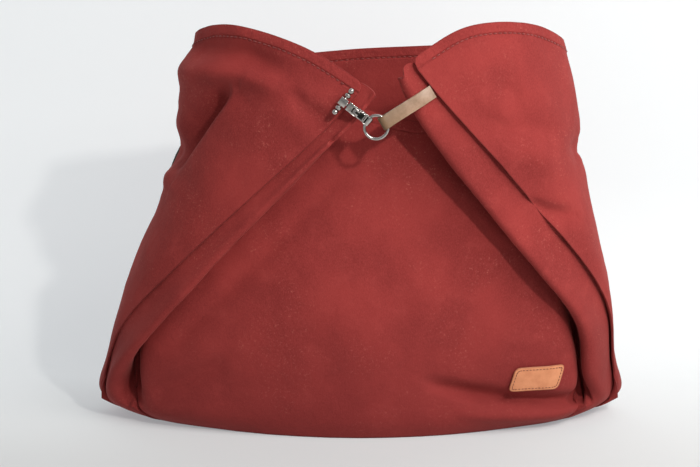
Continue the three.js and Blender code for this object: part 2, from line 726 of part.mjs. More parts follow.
/** The leather tab: two layers looped round the ring's wire, over the right corner's fold. */
function tabGeometry(length) {
  const wireSide = ringWire / 2;
  const slotTop = wireSide + gap + tabLoopSlack;
  const loopEnd = slotTop - ringSag(tabWidth) - wireSide - gap - tabLoopSlack;
  const outer = slotTop + tabLayer;
  const bend = length - tabBend;
  const outline = new THREE.Shape();
  outline.moveTo(0, -outer);
  outline.lineTo(tabJoin, -tabLayer);
  outline.lineTo(bend, tabRise - tabLayer);
  outline.lineTo(length, -tabLayer);
  outline.lineTo(length, tabLayer);
  outline.lineTo(bend, tabRise + tabLayer);
  outline.lineTo(tabJoin, tabLayer);
  outline.lineTo(0, outer);
  outline.lineTo(loopEnd, outer);
  outline.absarc(loopEnd, 0, outer, Math.PI / 2, Math.PI * 1.5, false);
  const slot = new THREE.Path();
  slot.absarc(0, 0, slotTop, -Math.PI / 2, Math.PI / 2, false);
  slot.absarc(loopEnd, 0, slotTop, Math.PI / 2, Math.PI * 1.5, false);
  outline.holes.push(slot);
  return profile(outline, tabWidth);
}

/** The tab's end: on the right gusset, against the edge of the corner's outer layer. */
function tabEnd() {
  const step = stepAt(tabLevel);
  const { along, inward } = seamDirections(right, step);
  const drop = rightSeamStep - wall / 2 - gap - tabLayer;
  return onLine(right.seam, step).addScaledVector(along, -tabEndGap).addScaledVector(inward, drop);
}

const grids = wallGrids();
const frontPanel = leatherPiece('front_panel', gridSolid(grids.front, wall));
const wholeBack = new THREE.Mesh(gridSolid(grids.back, wall));
const hookAt = hookPlace();
const rivets = [rivetPlace(wholeBack, -1), rivetPlace(wholeBack, 1)];

const legHoles = [-1, 1].map((sign) => {
  const at = hookAt.origin.clone().addScaledVector(hookAt.across, sign * shackleSpan / 2);
  const inside = at.clone().addScaledVector(hookAt.out, -shackleDepth);
  return rod(shackleWire / 2 + gap, inside, at);
});
const rivetHoles = rivets.map(({ at, inside, outside }) => {
  return rod(rivetRadius + gap, at(2 * inside), at(2 * outside));
});

const bag = new THREE.Group();
bag.add(frontPanel);
bag.add(leatherPiece('back_panel', carved([wholeBack.geometry], [...legHoles, ...rivetHoles])));
bag.add(leatherPiece('left_gusset', carved([gridSolid(grids.left, wall)], legHoles)));
bag.add(leatherPiece('right_gusset', gridSolid(grids.right, wall)));
bag.add(leatherPiece('base_panel', basePanel(grids)));
bag.add(leatherPiece('front_patch', patchGeometry(frontPanel), colours.patch));

const hook = placedGroup(hookAt.origin, hookAt.along, hookAt.across, hookAt.out);
hook.add(metalPiece('hook_shackle', hookShackle()), metalPiece('shackle_pin', shacklePin()));
hook.add(metalPiece('hook_swivel', hookSwivel()), metalPiece('hook_body', hookBody()));
hook.add(metalPiece('hook_gate', hookGate()));
hook.add(metalPiece('gate_pin', pivotRod(pivotPinRadius, pivotEnd)));
const ringGeometry = new THREE.TorusGeometry(ringRadius, ringWire / 2, ringSides, ringSegments);
const ring = metalPiece('tab_ring', ringGeometry);
ring.position.x = ringReach;
hook.add(ring);
bag.add(hook);

const ringCentre = hookAt.origin.clone().addScaledVector(hookAt.along, ringReach);
const toTabEnd = tabEnd().sub(ringCentre).setY(0).normalize();
const tabStart = ringCentre.clone().addScaledVector(toTabEnd, ringRadius);
const tabRun = tabEnd().sub(tabStart);
const tabLength = tabRun.length();
tabRun.normalize();
const tabAcross = hookAt.out.clone().cross(tabRun).normalize();
const tab = placedGroup(tabStart, tabRun, tabAcross, tabRun.clone().cross(tabAcross));
tab.add(leatherPiece('ring_tab', tabGeometry(tabLength), colours.tan));
bag.add(tab);

const strap = carved([sweptSolid(strapSections(wholeBack))], rivetHoles);
bag.add(leatherPiece('shoulder_strap', strap, colours.strap));
['left', 'right'].forEach((side, i) => {
  bag.add(metalPiece(`strap_rivet_${side}`, rivetGeometry(rivets[i])));
});

export default bag;
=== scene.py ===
"""A soft red leather bag on a pale studio sweep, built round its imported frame.

The bag stands on its base. Its two upper corners fold forward and meet in front, where a snap
hook on the left corner holds a ring on a tan tab. All lengths are in metres, +X to the right of
the front, +Y to the back and +Z up.
"""

from __future__ import annotations

import logging
import math
from dataclasses import dataclass, field
from enum import Enum
from typing import Iterable, Sequence

import bmesh
import bpy
from bmesh.types import BMEdge, BMesh, BMFace, BMVert
from bpy.types import Material, Node, NodeSocket, Object
from mathutils import Matrix, Quaternion, Vector, noise
from mathutils.bvhtree import BVHTree
from mathutils.kdtree import KDTree

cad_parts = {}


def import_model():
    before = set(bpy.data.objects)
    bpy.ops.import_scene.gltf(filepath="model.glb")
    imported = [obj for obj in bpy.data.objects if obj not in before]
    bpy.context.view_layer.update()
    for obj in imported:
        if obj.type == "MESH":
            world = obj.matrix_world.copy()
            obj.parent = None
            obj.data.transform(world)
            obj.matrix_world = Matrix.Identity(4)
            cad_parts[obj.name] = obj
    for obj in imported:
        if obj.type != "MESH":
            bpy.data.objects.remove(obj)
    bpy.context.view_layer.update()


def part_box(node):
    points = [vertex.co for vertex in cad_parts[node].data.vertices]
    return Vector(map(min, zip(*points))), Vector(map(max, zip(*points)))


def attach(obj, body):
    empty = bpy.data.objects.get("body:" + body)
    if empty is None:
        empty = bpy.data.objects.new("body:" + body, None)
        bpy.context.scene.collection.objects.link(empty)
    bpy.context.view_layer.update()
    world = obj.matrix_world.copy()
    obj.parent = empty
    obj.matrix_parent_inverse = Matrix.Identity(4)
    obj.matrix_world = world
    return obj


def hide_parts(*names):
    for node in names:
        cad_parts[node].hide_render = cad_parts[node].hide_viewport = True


logging.basicConfig(level=logging.INFO, format="%(message)s")
LOG = logging.getLogger("bag")

BAG_BODY = "bag"
GATE_BODY = "gate"
FRONT = Vector((0.0, -1.0, 0.0))
HEM_SEAM = 0.0090  # from the top edge to the row of stitches


class Slot(Enum):
    """Names of material slots."""

    RED = "red_leather"
    TAN = "tan_leather"
    PATCH = "patch_leather"
    STRAP = "strap_leather"
    NICKEL = "nickel"


class Side(Enum):
    """Which of a leather wall's two faces is meant."""

    OUTER = 1
    INNER = -1


# Node graphs and finishes.


class Graph:
    """A material's node tree, with short ways to add nodes and join them."""

    def __init__(self, name: str) -> None:
        """Starts an empty material.

        Args:
            name: the material's name.
        """
        self.material = bpy.data.materials.new(name)
        self.material.use_nodes = True
        self.tree = self.material.node_tree
        self.tree.nodes.clear()
        self.output = self.tree.nodes.new("ShaderNodeOutputMaterial")

    def add(self, kind: str, inputs: dict | None = None, **settings: object) -> Node:
        """Adds a node.

        Args:
            kind: the node's type, without its "ShaderNode" start.
            inputs: values or output sockets for its inputs, by name or number.
            **settings: the node's own properties.

        Returns:
            The new node.
        """
        node = self.tree.nodes.new("ShaderNode" + kind)
        for key, value in settings.items():
            setattr(node, key, value)
        for key, value in (inputs or {}).items():
            if isinstance(value, NodeSocket):
                self.tree.links.new(value, node.inputs[key])
            else:
                node.inputs[key].default_value = value
        return node

    def place(self, scale: Sequence[float] = (1, 1, 1), turn: Sequence[float] = (0, 0, 0)) -> NodeSocket:
        """Object coordinates, turned and then scaled.

        Args:
            scale: how much finer the pattern is along each axis.
            turn: angles in radians.

        Returns:
            The socket of the new coordinates.
        """
        coordinates = self.add("TexCoord").outputs["Object"]
        inputs = {"Vector": coordinates, "Rotation": turn, "Scale": scale}
        return self.add("Mapping", inputs).outputs["Vector"]

    def noise(self, vector: NodeSocket, scale: float, detail: float = 3.0,
              roughness: float = 0.5, distortion: float = 0.0) -> NodeSocket:
        """A noise pattern's values.

        Args:
            vector: the coordinates that it is read at.
            scale: features per metre.
            detail: how many finer layers it has.
            roughness: how strong the finer layers are.
            distortion: how much it is warped.

        Returns:
            The socket of its values, about 0.3 to 0.7.
        """
        inputs = {
            "Vector": vector, "Scale": scale, "Detail": detail,
            "Roughness": roughness, "Distortion": distortion,
        }
        return self.add("TexNoise", inputs).outputs[0]

    def fade(self, value: NodeSocket, low: float, high: float,
             to_low: float = 0.0, to_high: float = 1.0) -> NodeSocket:
        """A smooth step from one value to another.

        Args:
            value: what it reads.
            low: where the step starts.
            high: where it ends.
            to_low: its value at the start.
            to_high: its value at the end.

        Returns:
            The socket of the new value.
        """
        inputs = {
            "Value": value, "From Min": low, "From Max": high, "To Min": to_low, "To Max": to_high,
        }
        return self.add("MapRange", inputs, interpolation_type="SMOOTHSTEP").outputs[0]

    def math(self, operation: str, first: object, second: object = 0.0) -> NodeSocket:
        """A sum, product or other operation on two values.

        Args:
            operation: the operation's name.
            first: a socket or number.
            second: a socket or number.

        Returns:
            The socket of the result.
        """
        return self.add("Math", {0: first, 1: second}, operation=operation).outputs[0]

    def mix(self, share: object, first: object, second: object) -> NodeSocket:
        """A mix of two colours.

        Args:
            share: how much of the second colour there is.
            first: a colour or a socket.
            second: a colour or a socket.

        Returns:
            The socket of the mixed colour.
        """
        node = self.add("Mix", data_type="RGBA")
        for index, value in ((0, share), (6, first), (7, second)):
            if isinstance(value, NodeSocket):
                self.tree.links.new(value, node.inputs[index])
            else:
                node.inputs[index].default_value = value
        return node.outputs[2]

    def attribute(self, name: str) -> NodeSocket:
        """The values of a mesh attribute by name."""
        return self.add("Attribute", attribute_name=name).outputs["Fac"]

    def bump(self, height: NodeSocket, strength: float, distance: float,
             under: NodeSocket | None = None) -> NodeSocket:
        """A bumped normal.

        Args:
            height: the socket of the heights.
            strength: how strong the bump is.
            distance: how high a height of 1 stands, in metres.
            under: a normal that it is laid over.

        Returns:
            The socket of the normal.
        """
        inputs = {"Height": height, "Strength": strength, "Distance": distance}
        if under is not None:
            inputs["Normal"] = under
        return self.add("Bump", inputs).outputs[0]

    def surface(self, inputs: dict) -> Material:
        """Ends the graph in one physical shader.

        Args:
            inputs: the shader's values and sockets.

        Returns:
            The finished material.
        """
        shader = self.add("BsdfPrincipled", inputs)
        self.tree.links.new(shader.outputs[0], self.output.inputs[0])
        return self.material

    def clear_back(self) -> None:
        """Makes the back faces clear, so that a sheet shows on its front alone."""
        shader = self.output.inputs[0].links[0].from_socket
        side = self.add("NewGeometry").outputs["Backfacing"]
        clear = self.add("BsdfTransparent")
        both = self.add("MixShader", {0: side, 1: shader, 2: clear.outputs[0]})
        self.tree.links.new(both.outputs[0], self.output.inputs[0])


def colour(red: float, green: float, blue: float) -> tuple[float, float, float, float]:
    """A screen colour from 0 to 255 as linear values.

    Args:
        red: its red.
        green: its green.
        blue: its blue.

    Returns:
        The four linear values.
    """
    def linear(value: float) -> float:
        """One channel as linear light."""
        share = value / 255
        return share / 12.92 if share <= 0.04045 else ((share + 0.055) / 1.055) ** 2.4

    return linear(red), linear(green), linear(blue), 1.0


@dataclass(frozen=True)
class Nubuck:
    """The bag's matte red leather with a short nap, cloudy tone and pale scuffs, with painted shade towards
    the bottom, along the sheets' outlines and in the hem's stitch groove.
    """

    name: str = "red_nubuck"
    deep: tuple = colour(128, 40, 38)
    tone: tuple = colour(146, 49, 46)
    pale: tuple = colour(160, 62, 58)
    scuff: tuple = colour(196, 112, 100)
    # Painted shade along each sheet's outline.
    painted_edge_shade: tuple = colour(104, 32, 30)
    # Painted shade: the leather is mixed towards this colour near the floor, where the light falls off
    # towards the bottom.
    base: tuple = colour(106, 33, 32)
    sheen: tuple = colour(255, 150, 138)
    roughness: float = 0.88
    cloud_scale: float = 17
    blotch_scale: float = 70
    nap_scale: float = 1500
    fleck_scale: float = 480
    wear_scale: float = 22
    swell_scale: float = 95
    pucker_scale: float = 210
    grain_scale: float = 780

    def build(self) -> Material:
        """Builds the material.

        Returns:
            The finished material.
        """
        g = Graph(self.name)
        here = g.place()
        clouds = g.noise(here, self.cloud_scale, 3, 0.5)
        blotches = g.noise(here, self.blotch_scale, 5, 0.62, 0.2)
        nap = g.noise(g.place((1, 1, 0.45)), self.nap_scale, 2, 0.6)
        tone = g.mix(g.fade(clouds, 0.36, 0.66), self.deep, self.tone)
        tone = g.mix(g.fade(blotches, 0.50, 0.74, 0.0, 0.38), tone, self.pale)
        tone = g.mix(g.fade(blotches, 0.46, 0.28, 0.0, 0.30), tone, self.deep)
        tone = g.mix(g.fade(nap, 0.3, 0.7, 0.0, 0.46), tone, self.pale)
        flecks = g.noise(here, self.fleck_scale, 3, 0.75)
        patches = g.noise(here, self.wear_scale, 3, 0.6)
        worn = g.math("MULTIPLY", g.fade(flecks, 0.56, 0.72), g.fade(patches, 0.44, 0.64))
        tone = g.mix(g.math("MULTIPLY", worn, 0.42), tone, self.scuff)
        pores = g.math("MULTIPLY", g.fade(flecks, 0.42, 0.30), g.fade(blotches, 0.40, 0.62))
        tone = g.mix(g.math("MULTIPLY", pores, 0.60), tone, self.deep)
        # Painted shade: the leather darkens from 0.15 m down to the floor, in place of the light's fall
        # towards the bottom.
        height = g.add("SeparateXYZ", {0: here}).outputs["Z"]
        tone = g.mix(g.fade(height, 0.15, 0.01, 0.0, 0.5), tone, self.base)
        # Painted shade: the leather darkens within 1.2 mm of each sheet's outline, standing in for the shade
        # along the seams and dimming the lit cut edges.
        rim = g.attribute("rim")
        tone = g.mix(g.fade(rim, 0.0012, 0.0, 0.0, 0.5), tone, self.painted_edge_shade)
        hem = g.attribute("hem")
        seam = g.fade(g.math("ABSOLUTE", g.math("SUBTRACT", hem, HEM_SEAM)), 0.0016, 0.0)
        # Painted shade: the row of the hem's stitches is darkened towards deep, as shade in its groove; the
        # groove itself is bumped in below.
        tone = g.mix(g.math("MULTIPLY", seam, 0.30), tone, self.deep)
        soft = g.bump(g.noise(here, self.swell_scale, 4, 0.6, 0.6), 0.5, 0.0011)
        puckers = g.noise(here, self.pucker_scale, 2, 0.5)
        puckers = g.math("MULTIPLY", puckers, g.fade(hem, 0.018, 0.006))
        soft = g.bump(puckers, 0.8, 0.0012, soft)
        soft = g.bump(g.math("SUBTRACT", 0.0, seam), 0.8, 0.0007, soft)
        grain = g.bump(g.noise(here, self.grain_scale, 3, 0.65), 0.55, 0.00028, soft)
        return g.surface({
            "Base Color": tone, "Roughness": self.roughness, "Normal": grain,
            "Specular IOR Level": 0.22, "Sheen Weight": 0.10, "Sheen Roughness": 0.45,
            "Sheen Tint": self.sheen,
        })


@dataclass(frozen=True)
class SmoothLeather:
    """Vegetable-tanned leather with a fine grain, soft clouds and burnished edges.

    It is painted darker along x from shade_start to shade_end, where a start is given: a painted shade.
    """

    name: str
    tone: tuple
    dark: tuple
    edge: tuple
    roughness: float = 0.5
    grain_scale: float = 900
    cloud_scale: float = 90
    speck_scale: float = 1300
    rimmed: bool = False
    shade_start: float | None = None
    shade_end: float = 0.0

    def build(self) -> Material:
        """Builds the material.

        Returns:
            The finished material.
        """
        g = Graph(self.name)
        here = g.place()
        clouds = g.noise(here, self.cloud_scale, 4, 0.6)
        tone = g.mix(g.fade(clouds, 0.35, 0.7, 0.0, 0.5), self.tone, self.dark)
        specks = g.noise(here, self.speck_scale, 2, 0.6)
        tone = g.mix(g.fade(specks, 0.58, 0.7, 0.0, 0.25), tone, self.dark)
        if self.shade_start is not None:
            # Painted shade: darker along x towards shade_end.
            across = g.add("SeparateXYZ", {0: here}).outputs["X"]
            tone = g.mix(g.fade(across, self.shade_start, self.shade_end, 0.0, 0.75), tone, self.dark)
        if self.rimmed:
            tone = g.mix(g.fade(g.attribute("rim"), 0.0013, 0.0, 0.0, 0.8), tone, self.edge)
        grain = g.bump(g.noise(here, self.grain_scale, 3, 0.6), 0.4, 0.00025)
        roughness = g.fade(clouds, 0.3, 0.7, self.roughness - 0.06, self.roughness + 0.1)
        return g.surface({
            "Base Color": tone, "Roughness": roughness, "Normal": grain,
            "Specular IOR Level": 0.4, "Coat Weight": 0.08, "Coat Roughness": 0.35,
        })


@dataclass(frozen=True)
class Thread:
    """Twisted sewing thread."""

    name: str
    tone: tuple
    shadow: tuple = colour(60, 30, 24)
    twist_scale: float = 2600

    def build(self) -> Material:
        """Builds the material.

        Returns:
            The finished material.
        """
        g = Graph(self.name)
        twist = g.noise(g.place(), self.twist_scale, 2, 0.6)
        tone = g.mix(g.fade(twist, 0.3, 0.7, 0.0, 0.45), self.tone, self.shadow)
        return g.surface({
            "Base Color": tone, "Roughness": 0.7, "Normal": g.bump(twist, 0.5, 0.0002),
            "Sheen Weight": 0.2,
        })


@dataclass(frozen=True)
class Nickel:
    """Polished nickel plate with faint hazing and fine scratches."""

    name: str = "polished_nickel"
    tone: tuple = colour(196, 189, 184)
    worn: tuple = colour(124, 114, 106)
    haze_scale: float = 320
    scratch_scale: float = 900

    def build(self) -> Material:
        """Builds the material.

        Returns:
            The finished material.
        """
        g = Graph(self.name)
        haze = g.noise(g.place(), self.haze_scale, 4, 0.6)
        scratches = g.noise(g.place((1, 1, 7), (0.5, 0.2, 0.3)), self.scratch_scale, 2, 0.5)
        tone = g.mix(g.fade(haze, 0.35, 0.75, 0.0, 0.4), self.tone, self.worn)
        roughness = g.fade(haze, 0.3, 0.7, 0.06, 0.16)
        return g.surface({
            "Base Color": tone, "Metallic": 1.0, "Roughness": roughness,
            "Normal": g.bump(scratches, 0.08, 0.0001),
        })


@dataclass(frozen=True)
class Paper:
    """The studio's seamless pale paper, which glows more towards its back.

    A one-sided paper is clear from behind, so that it hides nothing in views from the back.
    """

    name: str = "studio_paper"
    tone: tuple = colour(184, 184, 182)
    fibre: tuple = colour(180, 184, 186)
    fibre_scale: float = 40
    glow: tuple = colour(244, 250, 255)
    glow_front: float = 0.05
    glow_back: float = 0.46
    glow_start: float = -0.45
    glow_end: float = 0.30
    one_sided: bool = False

    def build(self) -> Material:
        """Builds the material.

        Returns:
            The finished material.
        """
        g = Graph(self.name)
        here = g.place()
        fibres = g.noise(here, self.fibre_scale, 3, 0.5)
        tone = g.mix(g.fade(fibres, 0.3, 0.7, 0.0, 0.03), self.tone, self.fibre)
        back = g.add("SeparateXYZ", {0: here}).outputs["Y"]
        glow = g.fade(back, self.glow_start, self.glow_end, self.glow_front, self.glow_back)
        material = g.surface({
            "Base Color": tone, "Roughness": 0.9, "Specular IOR Level": 0.1,
            "Emission Color": self.glow, "Emission Strength": glow,
        })
        if self.one_sided:
            g.clear_back()
        return material


# Mesh helpers.


def node_mesh(node: str, within: float = 1e-6) -> BMesh:
    """A copy of a CAD node's mesh with its loose triangles joined.

    Args:
        node: the node's name.
        within: points closer than this become one.

    Returns:
        The new mesh.
    """
    bm = bmesh.new()
    bm.from_mesh(bpy.data.objects[node].data)
    bmesh.ops.remove_doubles(bm, verts=bm.verts, dist=within)
    return bm


def join_faces(bm: BMesh, degrees: float) -> None:
    """Joins pairs of triangles into four-sided faces.

    Args:
        bm: the mesh.
        degrees: the largest angle between two triangles that are joined.
    """
    bmesh.ops.join_triangles(
        bm, faces=bm.faces, angle_face_threshold=math.radians(degrees),
        angle_shape_threshold=math.radians(180), topology_influence=2.0,
    )
    bm.normal_update()


def relax(bm: BMesh, verts: Sequence[BMVert], rounds: int) -> None:
    """Moves points towards the middle of their neighbours.

    Args:
        bm: the mesh.
        verts: the points.
        rounds: how many times they are moved.
    """
    for _ in range(rounds):
        bmesh.ops.smooth_vert(
            bm, verts=verts, factor=0.5, use_axis_x=True, use_axis_y=True, use_axis_z=True,
        )


def new_object(name: str, bm: BMesh, material: Material) -> Object:
    """Makes an object at the origin from a bmesh.

    Args:
        name: the object's name.
        bm: its mesh, which is freed.
        material: its material.

    Returns:
        The new object.
    """
    mesh = bpy.data.meshes.new(name)
    bm.to_mesh(mesh)
    bm.free()
    mesh.shade_smooth()
    mesh.materials.append(material)
    obj = bpy.data.objects.new(name, mesh)
    bpy.context.scene.collection.objects.link(obj)
    return obj


def settle(obj: Object) -> None:
    """Bakes an object's modifiers into its mesh.

    Args:
        obj: the object.
    """
    bpy.context.view_layer.update()
    depsgraph = bpy.context.evaluated_depsgraph_get()
    mesh = bpy.data.meshes.new_from_object(obj.evaluated_get(depsgraph))
    old = obj.data
    obj.modifiers.clear()
    obj.data = mesh
    mesh.name = old.name
    bpy.data.meshes.remove(old)


def subdivide(obj: Object, levels: int, boundary: str = "ALL") -> None:
    """Refines an object's mesh into a smooth surface.

    Args:
        obj: the object.
        levels: how many times each face is split.
        boundary: how the modifier smooths open edges.
    """
    subdivision = obj.modifiers.new("smooth", "SUBSURF")
    subdivision.levels = subdivision.render_levels = levels
    subdivision.boundary_smooth = boundary
    settle(obj)


def add_bevel(obj: Object, width: float, segments: int = 2, angle: float = 50.0,
              harden: bool = False, material: int = -1) -> None:
    """Rounds an object's sharp edges with a live bevel.

    Args:
        obj: the object.
        width: the bevel's width.
        segments: how many steps it has.
        angle: edges sharper than this many degrees are rounded.
        harden: whether the flat faces keep their own shading.
        material: the index of the rounded edges' material, or -1 for that of their faces.
    """
    bevel = obj.modifiers.new("rounded", "BEVEL")
    bevel.width = width
    bevel.segments = segments
    bevel.limit_method = "ANGLE"
    bevel.angle_limit = math.radians(angle)
    bevel.use_clamp_overlap = True
    bevel.harden_normals = harden
    bevel.material = material


def bag_piece(obj: Object, slot: Slot, *nodes: str, body: str = BAG_BODY) -> Object:
    """Fixes a finished piece to a body of the frame.

    Args:
        obj: the piece.
        slot: a material slot's name, which is not used.
        *nodes: the CAD nodes that it stands for.
        body: the body that it moves with.

    Returns:
        The same piece.
    """
    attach(obj, body)
    if nodes:
        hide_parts(*nodes)
    LOG.info("%s: %d faces on %s", obj.name, len(obj.data.polygons), body)
    return obj


def basis(origin: Vector, x: Vector, y: Vector, z: Vector) -> Matrix:
    """A matrix from an origin and three directions."""
    matrix = Matrix((x, y, z)).transposed().to_4x4()
    matrix.translation = origin
    return matrix


def line_length(points: Sequence[Vector]) -> float:
    """The length of a line of points."""
    return sum((b - a).length for a, b in zip(points, points[1:]))


def evened(points: Sequence[Vector], step: float) -> list[Vector]:
    """Points at even distances along a line of points.

    Args:
        points: the line.
        step: about how far apart the new points are.

    Returns:
        The new points.
    """
    lengths = [0.0]
    for a, b in zip(points, points[1:]):
        lengths.append(lengths[-1] + (b - a).length)
    count = max(2, round(lengths[-1] / step))
    result = []
    k = 0
    for i in range(count + 1):
        target = lengths[-1] * i / count
        while k < len(points) - 2 and lengths[k + 1] < target:
            k += 1
        span = max(lengths[k + 1] - lengths[k], 1e-9)
        result.append(points[k].lerp(points[k + 1], (target - lengths[k]) / span))
    return result


@dataclass
class Stitches:
    """A row of thread stitches that lie on leather.

    They are made in small batches, because an operator slows down as its mesh grows.
    """

    length: float = 0.0034
    width: float = 0.00055
    pitch: float = 0.0046
    sink: float = 0.25
    batch: int = 16

    def add_row(self, bm: BMesh, points: Sequence[Vector], normals: Sequence[Vector]) -> None:
        """Adds a row of stitches.

        Args:
            bm: the mesh that they are added to.
            points: the row's points on the leather, a pitch apart.
            normals: the leather's outward direction at each point.
        """
        for first in range(0, len(points) - 1, self.batch):
            part = bmesh.new()
            for i in range(first, min(first + self.batch, len(points) - 1)):
                self.add_one(part, points[i:i + 2], normals[i:i + 2])
            mesh = bpy.data.meshes.new("stitches")
            part.to_mesh(mesh)
            part.free()
            bm.from_mesh(mesh)
            bpy.data.meshes.remove(mesh)

    def add_one(self, bm: BMesh, ends: Sequence[Vector], normals: Sequence[Vector]) -> None:
        """Adds one stitch.

        Args:
            bm: the mesh that it is added to.
            ends: its two ends on the leather.
            normals: the leather's outward direction at each end.
        """
        middle = (ends[0] + ends[1]) / 2
        run = (ends[1] - ends[0]).normalized()
        out = (normals[0] + normals[1]).normalized()
        across = run.cross(out).normalized()
        out = across.cross(run)
        place = basis(middle + out * self.width * (1 - self.sink), run, across, out)
        scale = Matrix.Diagonal((self.length / 2, self.width, self.width, 1))
        bmesh.ops.create_uvsphere(bm, u_segments=6, v_segments=5, radius=1, matrix=place @ scale)


# The leather walls.


@dataclass(frozen=True)
class Fold:
    """A soft fold in the leather, drawn on the bag as it is seen from the front.

    The line runs through points of x and z. Positive depth presses the leather in, and the
    two widths are the fold's reach to the left and right of the line's run. Leather whose y is
    over behind is left alone, and the fold reaches its full depth a fade in front of that.
    """

    line: tuple
    depth: float
    left: float
    right: float
    behind: float = 0.02
    fade: float = 0.025

    def push(self, place: Vector) -> float:
        """How far the fold presses the leather in at a place.

        Args:
            place: a point of the leather.

        Returns:
            The distance, negative where the fold stands out.
        """
        front = min(1.0, (self.behind - place.y) / self.fade)
        if front <= 0:
            return 0.0
        best = None
        spans = len(self.line) - 1
        for i in range(spans):
            ax, az = self.line[i]
            bx, bz = self.line[i + 1]
            dx, dz = bx - ax, bz - az
            length = math.hypot(dx, dz)
            along = ((place.x - ax) * dx + (place.z - az) * dz) / length ** 2
            inside = min(1.0, max(0.0, along))
            across = (dx * (place.z - az) - dz * (place.x - ax)) / length
            away = math.hypot(place.x - ax - inside * dx, place.z - az - inside * dz)
            if best is None or away < best[0]:
                best = (away, across, (i + inside) / spans)
        away, across, share = best
        width = self.left if across > 0 else self.right
        if away > 3 * width:
            return 0.0
        taper = math.sin(math.pi * min(0.5, max(0.0, 0.12 + min(share, 1 - share) * 1.6)))
        return self.depth * math.exp(-(away / width) ** 2) * taper * front * front * (3 - 2 * front)


